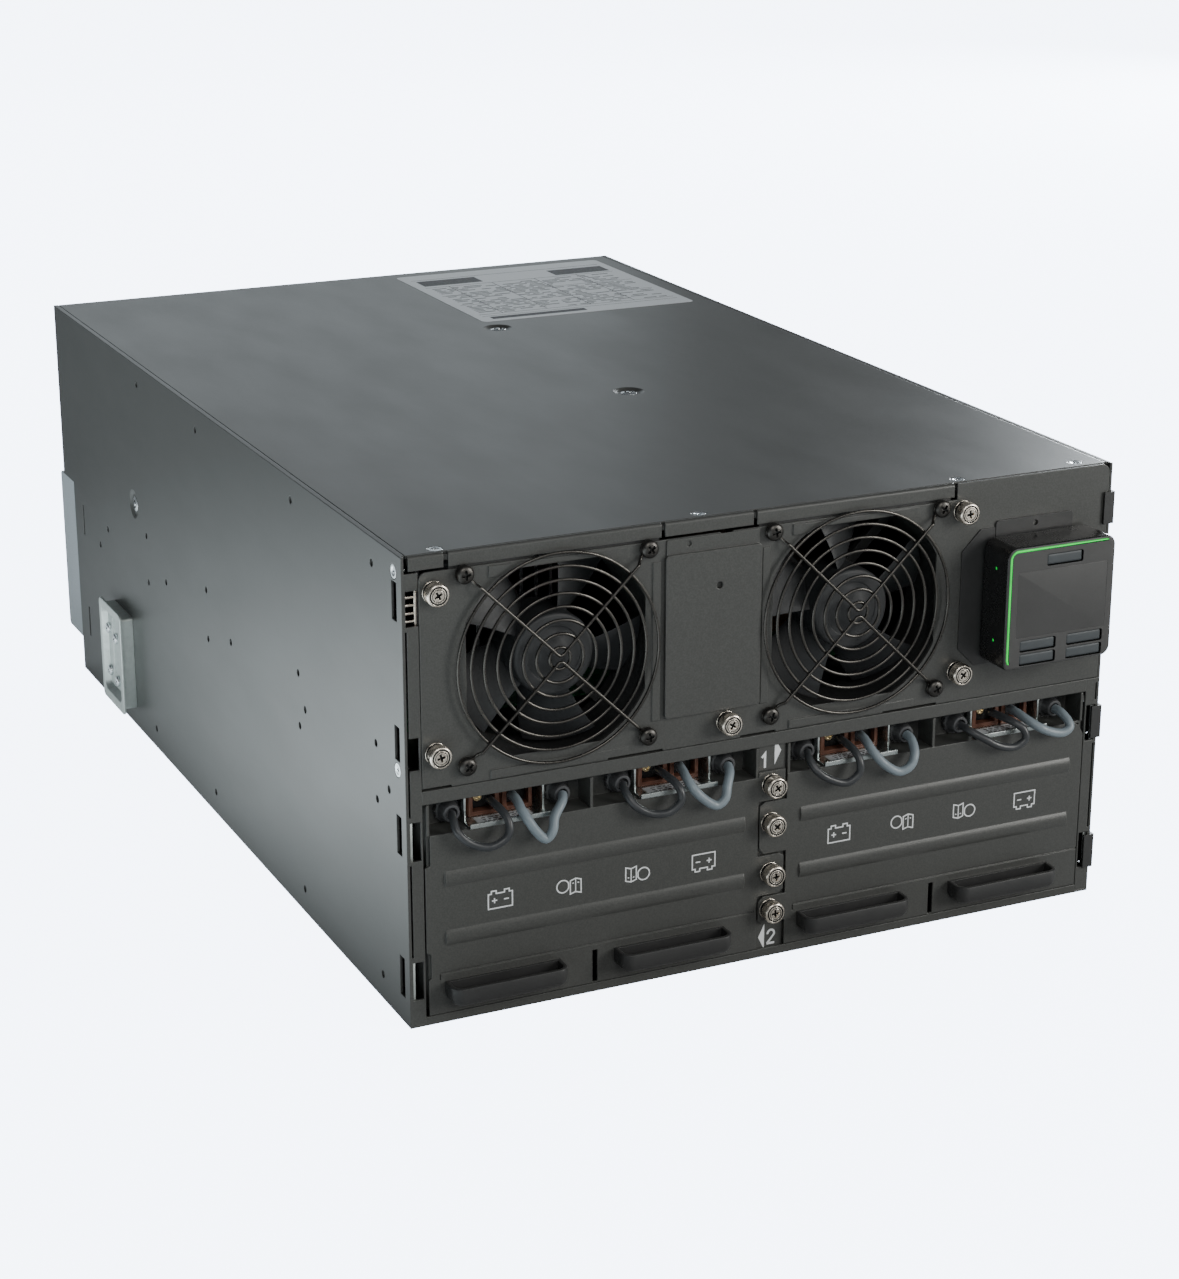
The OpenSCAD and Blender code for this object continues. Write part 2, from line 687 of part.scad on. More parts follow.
// Pressed steel pans low on both sides that rest on the rack's rear rails
module rail_brackets() {
    reach = 10;
    rim = 1.5;
    color(zinc) from_front() for (lean = [0, 1]) mirror([lean, 0, 0]) difference() {
        union() {
            box([-half_w - reach + rim, 508, 13], [-half_w, 553, 79]);
            box([-half_w - reach, 505, 10], [-half_w - reach + rim, 556, 82]);
        }
        // recess with a raised strip along its rear side
        box([-half_w - reach - 1, 511, 17], [-half_w - bracket_floor, 540, 76]);
        box([-half_w - reach - 1, 539, 17], [-half_w - bracket_floor - 1, 551, 76]);
        for (at = bracket_screw_at)
            x_rod(at[0], at[1], 2.4, -half_w - reach, -half_w - 1.5);
    }
}

module bracket_screws() {
    color(zinc) from_front() for (lean = [0, 1]) mirror([lean, 0, 0])
        for (at = bracket_screw_at)
            translate([-half_w - bracket_floor - (at[0] > 540 ? 1 : 0), at[0], at[1]])
                rotate([0, -90, 0]) pan_screw(3.8, 2.4, 2.2, 3);
}

// A countersunk-style screw set flush in its seat: head top at z = 0
module flush_screw() {
    difference() {
        translate([0, 0, -0.9]) cylinder(h = 0.8, r = 3.8);
        translate([0, 0, -0.6]) phillips(3.6, 1);
    }
    translate([0, 0, -6]) cylinder(h = 5.1, r = 1.5);
}

module case_screws() {
    color(zinc) from_front() {
        for (at = top_front_screw_at)
            translate([at[0], at[1], chassis_h]) flush_screw();
        for (at = top_dish_at)
            translate([at[0], at[1], chassis_h - 1.3]) pan_screw(5, 1.2, 2.2, 5);
        for (lean = [0, 1]) mirror([lean, 0, 0]) {
            for (at = side_screw_at)
                translate([-half_w, at[0], at[1]]) rotate([0, -90, 0]) flush_screw();
            translate([-half_w + 1.3, dish_at[0], dish_at[1]]) rotate([0, -90, 0])
                pan_screw(5, 1.2, 2.2, 5);
        }
    }
}

// Spring clips for the bezel that hook into the right panel's slots and lie over its front edge
module bezel_clips() {
    color(black) from_front() for (z = bezel_slot_z) {
        z0 = z[0] + 0.8;
        z1 = z[1] - 1.6;
        translate([0, 0, z0]) linear_extrude(z1 - z0)
            polygon([[half_w - 5.2, -0.2], [half_w - 5.2, -1.7], [half_w + 1.3, -1.7], [half_w + 1.9, -1.1],
                     [half_w + 1.9, 9.6], [inner_x - 4.5, 9.6], [inner_x - 4.5, 18], [inner_x - 6, 18],
                     [inner_x - 6, 8], [half_w + 0.2, 8], [half_w + 0.2, -0.2]]);
    }
}

// Cover of the mains terminals behind the lower half, flush with the left side
module terminal_box() {
    reach = 42;
    wall = 1.6;
    x0 = -214.2;
    x1 = -92;
    z0 = 21.5;
    z1 = 138.2;
    color([0.62, 0.66, 0.68]) from_front() difference() {
        translate([x0, 0, 0]) rotate([90, 0, 90]) linear_extrude(x1 - x0)
            polygon([[low_d, z0], [low_d + reach - 2, z0], [low_d + reach, z0 + 2],
                     [low_d + reach, z1 - 2], [low_d + reach - 2, z1], [low_d, z1]]);
        box([x0 + wall, low_d - 1, z0 + wall], [x1 - wall, low_d + reach - wall, z1 - wall]);
        // rings of the two conduit knock-outs, cut part of the way through
        for (x = [-180, -120]) translate([x, low_d + reach / 2, z0 - 1]) difference() {
            cylinder(h = 1.6, r = 11.5);
            translate([0, 0, -1]) cylinder(h = 4, r = 10.5);
        }
    }
}

module breaker_body() {
    color(black) from_front() difference() {
        union() {
            box([62, chassis_d, 150], [108, chassis_d + 2.5, 200]);
            box([69, chassis_d - 45, 157], [101, chassis_d, 193]);
        }
        box([76, chassis_d - 14, 165], [94, chassis_d + 3, 185]);
        x_rod(chassis_d - 4, 175, 2.05, 72, 98);
    }
}

// The breaker's lever, thrown up by its full angle, and the pin it turns on
module breaker_toggle() {
    throw = 15;
    color([0.75, 0.75, 0.72]) from_front() translate([0, chassis_d - 4, 175]) rotate([throw, 0, 0]) {
        box([79, -3, -2.8], [91, 16, 2.8]);
        x_rod(0, 0, 2, 72.3, 97.7);
    }
}

module card_cover() {
    color(charcoal) from_front() {
        difference() {
            box([-50, chassis_d, 202], [70, chassis_d + sheet_t, 242]);
            for (x = [-43, 63])
                y_rod(x, 222, 1.8, chassis_d - 1, chassis_d + 3);
        }
        for (x = [-43, 63])
            translate([x, chassis_d + sheet_t, 222]) rotate([-90, 0, 0]) pan_screw(5, 7, 1.6, 1.4);
    }
}

// ---------- power stage ----------

module power_board() {
    color([0.05, 0.3, 0.15]) from_front() {
        box([-190, 80, 142], [190, 600, 143.6]);
        for (x = [-180, 180], y = [90, 340, 590])
            translate([x, y, bar_z1]) cylinder(h = 142 - bar_z1, r = 4);
    }
}

module heat_sink() {
    fins = 12;
    pitch = 9;
    fin_t = 2;
    base_t = 8;
    left = -170;
    color([0.75, 0.76, 0.78]) from_front() translate([0, 380, 0]) rotate([90, 0, 0])
        linear_extrude(260) polygon(concat(
            [[left, 143.6], [left + (fins - 1) * pitch + fin_t, 143.6]],
            [for (i = [fins - 1:-1:0], p = [[fin_t, base_t], [fin_t, 75], [0, 75], [0, base_t]])
                [left + i * pitch + p[0], 143.6 + p[1]]]
        ));
}

module transformers() {
    color([0.5, 0.3, 0.15]) from_front() for (y = [130, 250, 370]) {
        box([20, y, 143.6], [110, y + 80, 163]);
        box([35, y + 8, 163], [95, y + 72, 215]);
        box([20, y, 215], [110, y + 80, 232]);
    }
}

module capacitors() {
    color([0.15, 0.2, 0.35]) from_front() for (ix = [0:2], iy = [0:3])
        translate([-150 + ix * 44, 420 + iy * 42, 143.6]) cylinder(h = 52, r = 17.5);
}

// ---------- captive thumb screws ----------

// A slotless round head with a Phillips disc, its collar and its shank
module thumb_screw(x, z, front_y, shank_length) {
    color(nickel) translate([x, front_y, z]) rotate([90, 0, 0]) {
        difference() {
            union() {
                cylinder(h = 2.2, r = 5.2);
                translate([0, 0, 2.2]) cylinder(h = 0.9, r = 4.4);
                translate([0, 0, 3.1]) cylinder(h = 4.7, r = 6.25);
                translate([0, 0, 7.8]) cylinder(h = 0.7, r1 = 6.25, r2 = 5.5);
            }
            difference() {
                translate([0, 0, 7.9]) cylinder(h = 1, r = 4.9);
                translate([0, 0, 7.8]) cylinder(h = 1.2, r = 4.1);
            }
            translate([0, 0, 6]) phillips(4.6, 3);
        }
        translate([0, 0, -shank_length]) cylinder(h = shank_length, r = shank_r);
    }
}

module fan_panel_screws() {
    from_front() for (at = fan_panel_screw_at)
        thumb_screw(at[0], at[1], -0.3, 8);
}

module battery_left_screws() {
    from_front() for (z = left_module_screw_z)
        thumb_screw(0, z, -0.3, 9);
}

module battery_right_screws() {
    from_front() for (z = right_module_screw_z)
        thumb_screw(0, z, -0.3, 9);
}

// ---------- battery modules ----------

// The steel tray that carries the cells; side = -1 left, 1 right
module battery_tray(side) {
    inner_w = cells_across * cell_w + (cells_across + 1) * cell_gap;
    middle = tray_x[side < 0 ? 0 : 1];
    x0 = middle - inner_w / 2 - tray_wall;
    x1 = middle + inner_w / 2 + tray_wall;
    color(charcoal) from_front() difference() {
        box([x0, tray_y, tray_floor_z], [x1, tray_y + tray_d, tray_wall_z]);
        box([x0 + tray_wall, tray_y + tray_wall, tray_floor_z + tray_wall],
            [x1 - tray_wall, tray_y + tray_d - tray_wall, tray_wall_z + 1]);
    }
}

// Sealed battery blocks with their terminal posts
module battery_cells(side) {
    floor_z = tray_floor_z + tray_wall;
    across = cells_across * cell_w + (cells_across - 1) * cell_gap;
    color([0.2, 0.21, 0.23]) from_front()
        for (ix = [0:cells_across - 1], iy = [0:cells_along - 1])
            translate([tray_x[side < 0 ? 0 : 1] - across / 2 + ix * (cell_w + cell_gap),
                       tray_y + 2 + iy * (cell_l + cell_gap), floor_z]) {
                box([0, 0, 0], [cell_w, cell_l, cell_h]);
                for (x = [10, cell_w - 10])
                    box([x - 3, 8, cell_h], [x + 3, 14, cell_h + 5]);
            }
}

// The folded front plate with its locking tabs and the recess for the connectors.
// edges = outline of the plate, tabs included; screws = heights of its captive screws.
module battery_front(side, outline, screws, x0, x1) {
    bead_x0 = side * module_x - 88;
    bead_x1 = side * module_x + 91;
    back_top = bar_z0 - 0.8;
    color(charcoal) from_front() difference() {
        union() {
            plate(0, sheet_t) polygon(outline);
            // long soft beads pressed into the plate
            for (z = [83, 49]) intersection() {
                x_rod(7.85, z, 9.05, bead_x0, bead_x1);
                box([bead_x0, -1.2, z - 5], [bead_x1, 1, z + 5]);
            }
            box([x0, sheet_t, plate_top - sheet_t], [x1, recess_y, plate_top]);
            box([x0, recess_y, plate_top - 5], [x1, recess_y + sheet_t, back_top]);
            // upright between the two connector recesses, and the closed ends
            for (x = [x0, side * module_x - 3, x1 - sheet_t])
                box([x, 0.5, plate_top], [x + sheet_t, recess_y, back_top]);
            // cheeks that fasten the front to the tray
            for (x = [x0, x1 - sheet_t])
                box([x, sheet_t, 8], [x + sheet_t, tray_y, plate_top - sheet_t]);
        }
        for (x = [-1, 1]) translate([side * module_x + x * connector_pitch / 2, 0, 0]) {
            box([-connector_w / 2 - 5.2, recess_y - 1, plate_top],
                [connector_w / 2 + 5.2, recess_y + 3, bar_z0]);
            y_rod(gland_a_x, gland_z, 5.1, recess_y - 1, recess_y + 3);
            y_rod(gland_b_x, gland_z, 5.1, recess_y - 1, recess_y + 3);
        }
        for (z = screws)
            y_rod(0, z, screw_hole_r, -2, 3);
        // slot between the two handles, and the line above them
        box([side * module_x - 2, -2, 6], [side * module_x + 1, 3, 25]);
        box([side * module_x - 92, -1, 28.4], [side * module_x + (side < 0 ? 98 : 99.5), 0.7, 29.3]);
        box([side * module_x - 92, -1, 25.2], [side * module_x - 91.2, 0.7, 29.3]);
    }
}

// Moulded grips with a finger pocket that is open at the top
module battery_handles(side) {
    wall = 2.4;
    inner = handle_w / 2 - wall;
    color(black) from_front() for (offset = [-55, 45])
        translate([side * module_x + offset, 0, 0]) difference() {
            plate(-handle_d, 0) polygon(rounded(-handle_w / 2, handle_z[0],
                handle_w / 2, handle_z[1], [6, 6, 0.8, 0.8]));
            box([-inner, -handle_d + wall, handle_z[0] + wall], [inner, -1.8, handle_z[1] + 1]);
        }
}

// Zinc cradles that hold the connectors
module battery_connector_trays(side) {
    half = connector_w / 2 + 4.8;
    color(zinc) from_front() for (x = [-1, 1])
        translate([side * module_x + x * connector_pitch / 2, 0, 0]) {
            box([-half, -0.4, plate_top], [half, 62, plate_top + 1.1]);
            box([-half, -1.2, plate_top], [half, -0.4, plate_top + 3]);
            for (edge = [-half, half - 1.2])
                box([edge, 8, plate_top + 1.1], [edge + 1.2, 62, bar_z0 - 1]);
        }
}

// Two-pole connectors, with the two round lead entries in the front face
module battery_connectors(side) {
    half = connector_w / 2;
    color([0.43, 0.24, 0.16]) from_front() for (x = [-1, 1])
        translate([side * module_x + x * connector_pitch / 2, 0, 0]) difference() {
            box([-half, connector_y, plate_top + 1.1], [half, 60, bar_z0 - 1.2]);
            // step along the top, and the groove between the poles
            box([-half - 1, connector_y - 1, bar_z0 - 3.4], [half + 1, connector_y + 6, bar_z0]);
            box([-1, connector_y - 1, plate_top], [1, connector_y + 4, bar_z0]);
        }
}

// Cable glands: a collar in front of the recess wall and a threaded end through it
module battery_glands(side) {
    color(black) from_front() for (x = [-1, 1], at = [gland_a_x, gland_b_x])
        translate([side * module_x + x * connector_pitch / 2 + at, 0, 0]) {
            y_rod(0, gland_z, 6.8, 12, recess_y);
            translate([0, 6, gland_z]) rotate([-90, 0, 0]) cylinder(h = 6, r1 = 4.6, r2 = 6);
            y_rod(0, gland_z, 5, recess_y, 24);
        }
}

// A lead's tube: one closed surface swept through the route's points
module lead(route, d) {
    sides = 8;
    n = len(route);
    // both ends face straight into what they enter
    along = [for (i = [0:n - 1])
        let (d3 = i == 0 ? [0, -1, 0] : i == n - 1 ? [0, 1, 0] : route[i + 1] - route[i - 1])
            d3 / norm(d3)];
    points = [for (i = [0:n - 1], k = [0:sides - 1])
        let (
            t = along[i],
            u = cross(t, [0, 0.6, 0.8]) / norm(cross(t, [0, 0.6, 0.8])),
            v = cross(t, u),
            a = 360 * k / sides
        )
        route[i] + d / 2 * (cos(a) * u + sin(a) * v)];
    ends = [[for (k = [0:sides - 1]) k], [for (k = [sides - 1:-1:0]) (n - 1) * sides + k]];
    skin = [for (i = [0:n - 2], k = [0:sides - 1], half = [0, 1])
        let (a = i * sides + k, b = i * sides + (k + 1) % sides)
        half == 0 ? [a, a + sides, b + sides] : [a, b + sides, b]];
    polyhedron(points = points, faces = concat(ends, skin));
}

module battery_leads(side, routes, d, colour) {
    color(colour) from_front() for (i = [0, 1])
        translate([side * module_x + (i - 0.5) * connector_pitch, 0, 0]) lead(routes[i], d);
}

left_outline = [
    [-205, 5.5], [-7.6, 5.5], [-7.6, 37.6], [6, 37.6], [9, 40], [9, 60], [6, 61.8],
    [-7.6, 61.8], [-7.6, 94.6], [5, 94.6], [9, 97.5], [9, 112], [-7.6, 112],
    [-7.6, plate_top], [-203, plate_top], [-203, 92], [-206, 91], [-206, 42], [-203.5, 41],
    [-203.5, 27], [-205, 26]
];
right_outline = [
    [206.4, 5.5], [206.4, plate_top - 8], [203, plate_top - 2], [199, plate_top],
    [10.4, plate_top], [10.4, 93.8], [-3.5, 93.8], [-6.6, 91.5], [-6.6, 66], [-3.5, 62.8],
    [10.4, 62.8], [10.4, 36.8], [-3.5, 36.8], [-6.6, 34], [-6.6, 22.5], [-4, 20.5],
    [10.4, 20.5], [10.4, 5.5]
];

module battery_left_tray() {
    battery_tray(-1);
}

module battery_left_cells() {
    battery_cells(-1);
}

module battery_left_front() {
    battery_front(-1, left_outline, left_module_screw_z, -204.6, -7.8);
}

module battery_left_handles() {
    battery_handles(-1);
}

module battery_left_connector_trays() {
    battery_connector_trays(-1);
}

module battery_left_connectors() {
    battery_connectors(-1);
}

module battery_left_glands() {
    battery_glands(-1);
}

module battery_left_dark_leads() {
    battery_leads(-1, left_dark_routes, dark_d, [0.25, 0.26, 0.28]);
}

module battery_left_grey_leads() {
    battery_leads(-1, left_grey_routes, grey_d, [0.6, 0.63, 0.65]);
}

module battery_right_tray() {
    battery_tray(1);
}

module battery_right_cells() {
    battery_cells(1);
}

module battery_right_front() {
    battery_front(1, right_outline, right_module_screw_z, 10.6, 205.6);
}

module battery_right_handles() {
    battery_handles(1);
}

module battery_right_connector_trays() {
    battery_connector_trays(1);
}

module battery_right_connectors() {
    battery_connectors(1);
}

module battery_right_glands() {
    battery_glands(1);
}

module battery_right_dark_leads() {
    battery_leads(1, right_dark_routes, dark_d, [0.25, 0.26, 0.28]);
}

module battery_right_grey_leads() {
    battery_leads(1, right_grey_routes, grey_d, [0.6, 0.63, 0.65]);
}

bottom_pan();
left_side_panel();
right_side_panel();
top_cover();
rear_panel();
front_frame();
bay_shelf();
bay_divider();
fan_panel();
fan_cover_plate();
fan_left_frame();
fan_right_frame();
fan_guards();
guard_screws();
contact_strips();
display_bracket();
display_base();
rail_brackets();
bracket_screws();
case_screws();
bezel_clips();
terminal_box();
breaker_body();
card_cover();
power_board();
heat_sink();
transformers();
capacitors();
fan_left_rotor();
fan_right_rotor();
display_shell();
display_window();
light_pipe();
menu_button();
upper_left_button();
lower_left_button();
upper_right_button();
lower_right_button();
breaker_toggle();
fan_panel_screws();
battery_left_screws();
battery_right_screws();
battery_left_tray();
battery_left_cells();
battery_left_front();
battery_left_handles();
battery_left_connector_trays();
battery_left_connectors();
battery_left_glands();
battery_left_dark_leads();
battery_left_grey_leads();
battery_right_tray();
battery_right_cells();
battery_right_front();
battery_right_handles();
battery_right_connector_trays();
battery_right_connectors();
battery_right_glands();
battery_right_dark_leads();
battery_right_grey_leads();
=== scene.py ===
"""Looks of a six-unit rack power unit whose two battery modules slide out to the front.

Lengths are written in millimetres, [x, depth from the front plane, z], and turned into metres by
point(). Every CAD node keeps its place; the finer pieces below stand in for some of them.
"""

import json
import math
import random

import bmesh
import bpy
from mathutils import Matrix, Vector


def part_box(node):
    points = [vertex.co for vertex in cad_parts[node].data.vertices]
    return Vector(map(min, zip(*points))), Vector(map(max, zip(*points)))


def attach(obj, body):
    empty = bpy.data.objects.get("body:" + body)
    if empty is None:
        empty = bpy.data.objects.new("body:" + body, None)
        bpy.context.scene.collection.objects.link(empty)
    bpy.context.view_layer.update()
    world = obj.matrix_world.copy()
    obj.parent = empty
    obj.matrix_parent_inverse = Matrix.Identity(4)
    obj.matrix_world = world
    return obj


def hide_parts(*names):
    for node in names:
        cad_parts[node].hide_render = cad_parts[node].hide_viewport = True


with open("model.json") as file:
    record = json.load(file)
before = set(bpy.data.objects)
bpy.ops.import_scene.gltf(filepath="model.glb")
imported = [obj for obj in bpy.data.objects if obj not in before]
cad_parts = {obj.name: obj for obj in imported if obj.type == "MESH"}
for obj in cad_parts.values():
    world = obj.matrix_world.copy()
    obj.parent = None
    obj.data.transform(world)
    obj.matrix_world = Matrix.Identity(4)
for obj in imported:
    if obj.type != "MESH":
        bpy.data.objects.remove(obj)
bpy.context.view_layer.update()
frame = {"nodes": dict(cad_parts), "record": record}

MM = 0.001
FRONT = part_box("bottom_pan")[0].y  # depth of the front plane, metres
SIDES = {"left": -1, "right": 1}
MODULE_X = 107  # middle of a battery module
CONNECTOR_PITCH = 100
CASE_HEIGHT = 263
CASE_HALF = 216  # from the middle to the outside of a side panel


def point(x, y, z):
    """A place in metres from millimetres, with y counted back from the front plane."""
    return Vector((x * MM, FRONT + y * MM, z * MM))


def connectors(side):
    """The middles, in x, of a module's two connectors."""
    return [SIDES[side] * MODULE_X + offset * CONNECTOR_PITCH for offset in (-0.5, 0.5)]


random.seed(7)


# ---------- camera ----------


CAMERA_PLACE = (-0.7048, -1.6045, 0.6818)  # metres
CAMERA_LOOK = (0.4012, 0.8574, -0.3223)  # direction
LENS = 79.3


def make_camera():
    """The camera at the angle and distance of the photograph."""
    data = bpy.data.cameras.new("camera")
    data.lens = LENS
    data.sensor_width = 36
    data.clip_start, data.clip_end = 0.05, 200
    camera = bpy.data.objects.new("camera", data)
    camera.location = CAMERA_PLACE
    camera.rotation_mode = "QUATERNION"
    camera.rotation_quaternion = Vector(CAMERA_LOOK).to_track_quat("-Z", "Y")
    bpy.context.collection.objects.link(camera)
    bpy.context.scene.camera = camera


make_camera()


# ---------- materials ----------


class Surface:
    """One procedural material, built node by node in the object's own coordinates."""

    def __init__(self, name):
        self.material = bpy.data.materials.new(name)
        self.material.use_nodes = True
        self.tree = self.material.node_tree
        self.tree.nodes.clear()
        self.place = self.add("ShaderNodeTexCoord").outputs["Object"]
        self.shader = self.add("ShaderNodeBsdfPrincipled")
        output = self.add("ShaderNodeOutputMaterial")
        self.tree.links.new(self.shader.outputs["BSDF"], output.inputs["Surface"])

    def add(self, kind, **settings):
        node = self.tree.nodes.new(kind)
        for name, value in settings.items():
            setattr(node, name, value)
        return node

    def feed(self, socket, value):
        """Links value if it is a socket, and sets it otherwise."""
        if isinstance(value, bpy.types.NodeSocket):
            self.tree.links.new(value, socket)
        else:
            socket.default_value = value

    def math(self, operation, a, b):
        node = self.add("ShaderNodeMath", operation=operation)
        self.feed(node.inputs[0], a)
        self.feed(node.inputs[1], b)
        return node.outputs[0]

    def stretched(self, scale):
        node = self.add("ShaderNodeMapping")
        self.feed(node.inputs["Vector"], self.place)
        node.inputs["Scale"].default_value = scale
        return node.outputs["Vector"]

    def noise(self, size, detail=2, stretch=None):
        """Soft noise whose lumps are about size millimetres across."""
        node = self.add("ShaderNodeTexNoise")
        self.feed(node.inputs["Vector"], self.stretched(stretch) if stretch else self.place)
        node.inputs["Scale"].default_value = 1 / (size * MM)
        node.inputs["Detail"].default_value = detail
        return node.outputs["Fac"]

    def cells(self, size):
        node = self.add("ShaderNodeTexVoronoi")
        self.feed(node.inputs["Vector"], self.place)
        node.inputs["Scale"].default_value = 1 / (size * MM)
        return node.outputs["Distance"]

    def span(self, value, low, high, to_low=0.0, to_high=1.0):
        """value carried from one range to another, held at its ends."""
        node = self.add("ShaderNodeMapRange", clamp=True)
        self.feed(node.inputs["Value"], value)
        for name, number in zip(("From Min", "From Max", "To Min", "To Max"), (low, high, to_low, to_high)):
            node.inputs[name].default_value = number
        return node.outputs["Result"]

    def blend(self, factor, a, b):
        node = self.add("ShaderNodeMix", data_type="RGBA")
        self.feed(node.inputs["Factor"], factor)
        for socket, value in ((node.inputs[6], a), (node.inputs[7], b)):
            self.feed(socket, value if isinstance(value, bpy.types.NodeSocket) else (*value, 1))
        return node.outputs[2]

    def bump(self, height, strength, distance, normal=None):
        node = self.add("ShaderNodeBump")
        self.feed(node.inputs["Height"], height)
        node.inputs["Strength"].default_value = strength
        node.inputs["Distance"].default_value = distance * MM
        if normal is not None:
            self.feed(node.inputs["Normal"], normal)
        return node.outputs["Normal"]

    def edges(self, radius):
        """(normal rounded over sharp edges, how much of an edge is near from 0 to 1)."""
        bevel = self.add("ShaderNodeBevel", samples=6)
        bevel.inputs["Radius"].default_value = radius * MM
        straight = self.add("ShaderNodeNewGeometry").outputs["Normal"]
        dot = self.add("ShaderNodeVectorMath", operation="DOT_PRODUCT")
        self.feed(dot.inputs[0], bevel.outputs["Normal"])
        self.feed(dot.inputs[1], straight)
        return bevel.outputs["Normal"], self.span(dot.outputs["Value"], 1.0, 0.75)

    def set(self, **values):
        for name, value in values.items():
            self.feed(self.shader.inputs[name.replace("_", " ")], value)
        return self.material


def tint(colour, amount):
    return tuple(min(1, c * amount) for c in colour)


def powder_coat(name, colour, rough, edge_highlight_amount, rounding=0.5):
    """Fine orange-peel paint with faint cloudiness and a painted highlight along its edges."""
    s = Surface(name)
    normal, edge = s.edges(rounding)
    cloud = s.noise(70, 4)
    speck = s.noise(0.9, 2)
    # painted highlight: near the edges the colour is lightened, in patches of noise, standing in for light caught on
    # the rounded edges
    edge_highlight_mask = s.math("MULTIPLY", edge, s.span(s.noise(6, 4), 0.42, 0.7, 0.25, 1))
    base = s.blend(cloud, tint(colour, 0.96), tint(colour, 1.05))
    base = s.blend(s.span(speck, 0.35, 0.7), base, tint(colour, 1.3))
    base = s.blend(s.math("MULTIPLY", edge_highlight_mask, edge_highlight_amount), base, tint(colour, 3.2))
    smear = s.noise(30, 5, (1, 0.35, 1))
    return s.set(
        Base_Color=base,
        Roughness=s.math(
            "ADD", s.span(smear, 0.3, 0.7, rough - 0.02, rough + 0.02), s.span(speck, 0.2, 0.8, -0.03, 0.03)
        ),
        Normal=s.bump(speck, 0.22, 0.08, s.bump(s.noise(2.6, 3), 0.12, 0.15, normal)),
    )


def moulded(name, colour, rough, grain):
    """Spark-textured plastic, shinier where hands rub it."""
    s = Surface(name)
    normal, edge = s.edges(0.35)
    rubbed = s.span(s.noise(14, 3), 0.4, 0.65)
    base = s.blend(s.noise(22, 3), tint(colour, 0.85), tint(colour, 1.2))
    # painted highlight: the colour is lightened near edges
    base = s.blend(s.math("MULTIPLY", edge, 0.5), base, tint(colour, 2.0))
    return s.set(
        Base_Color=base,
        Roughness=s.math(
            "SUBTRACT", s.span(s.noise(1.2, 2), 0.3, 0.7, rough, rough + 0.1), s.math("MULTIPLY", rubbed, 0.08)
        ),
        Normal=s.bump(s.cells(0.5), grain, 0.05, normal),
    )


def plated(name, colour, rough, stretch=(1, 1, 8), tarnish=0.25, grain=0.12):
    """Plated metal with drawing lines, spangle and a little tarnish."""
    s = Surface(name)
    normal, edge = s.edges(0.3)
    lines = s.noise(0.9, 4, stretch)
    spots = s.span(s.noise(4, 4), 0.45, 0.75)
    base = s.blend(s.math("MULTIPLY", spots, tarnish), colour, tint(colour, 0.55))
    # painted highlight: the colour is lightened near edges
    base = s.blend(s.math("MULTIPLY", edge, 0.6), base, tint(colour, 1.25))
    s.shader.inputs["Metallic"].default_value = 1.0
    return s.set(
        Base_Color=base,
        Roughness=s.math("ADD", s.span(lines, 0.3, 0.7, rough - 0.08, rough + 0.08), s.math("MULTIPLY", spots, 0.12)),
        Normal=s.bump(lines, grain, 0.04, normal),
    )


def jacket(name, colour, rough):
    """Extruded cable jacket: faint lengthwise waviness, dust and scuffs."""
    s = Surface(name)
    dust = s.span(s.noise(7, 4), 0.5, 0.8)
    base = s.blend(s.math("MULTIPLY", dust, 0.35), colour, tint(colour, 1.5))
    return s.set(
        Base_Color=base,
        Roughness=s.span(s.noise(2, 3), 0.3, 0.7, rough - 0.08, rough + 0.12),
        Normal=s.bump(s.noise(1.6, 2), 0.15, 0.08),
    )


def ink(name, colour, rough=0.5):
    """Printed ink that is a little thin in places."""
    s = Surface(name)
    thin = s.span(s.noise(0.6, 3), 0.55, 0.85)
    return s.set(
        Base_Color=s.blend(s.math("MULTIPLY", thin, 0.35), colour, tint(colour, 0.7)),
        Roughness=s.span(s.noise(1.5, 2), 0.3, 0.7, rough - 0.05, rough + 0.1),
        Normal=s.bump(s.noise(0.4, 2), 0.1, 0.02),
    )


def glowing(name, colour, power):
    """A light guide lit from behind, a little uneven along its length."""
    s = Surface(name)
    uneven = s.span(s.noise(9, 2), 0.3, 0.7)
    s.shader.inputs["Emission Strength"].default_value = power
    return s.set(
        Base_Color=s.blend(uneven, tint(colour, 0.8), colour),
        Emission_Color=s.blend(uneven, tint(colour, 0.75), colour),
        Roughness=s.span(s.noise(1, 2), 0.3, 0.7, 0.25, 0.4),
        Normal=s.bump(s.noise(0.8, 2), 0.1, 0.03),
    )


def board(name):
    """Solder mask over copper tracks."""
    s = Surface(name)
    tracks = s.span(s.cells(4), 0.32, 0.36)
    return s.set(
        Base_Color=s.blend(tracks, (0.012, 0.09, 0.04), (0.03, 0.16, 0.07)),
        Roughness=s.span(s.noise(3, 2), 0.3, 0.7, 0.3, 0.45),
        Normal=s.bump(tracks, 0.3, 0.05),
    )


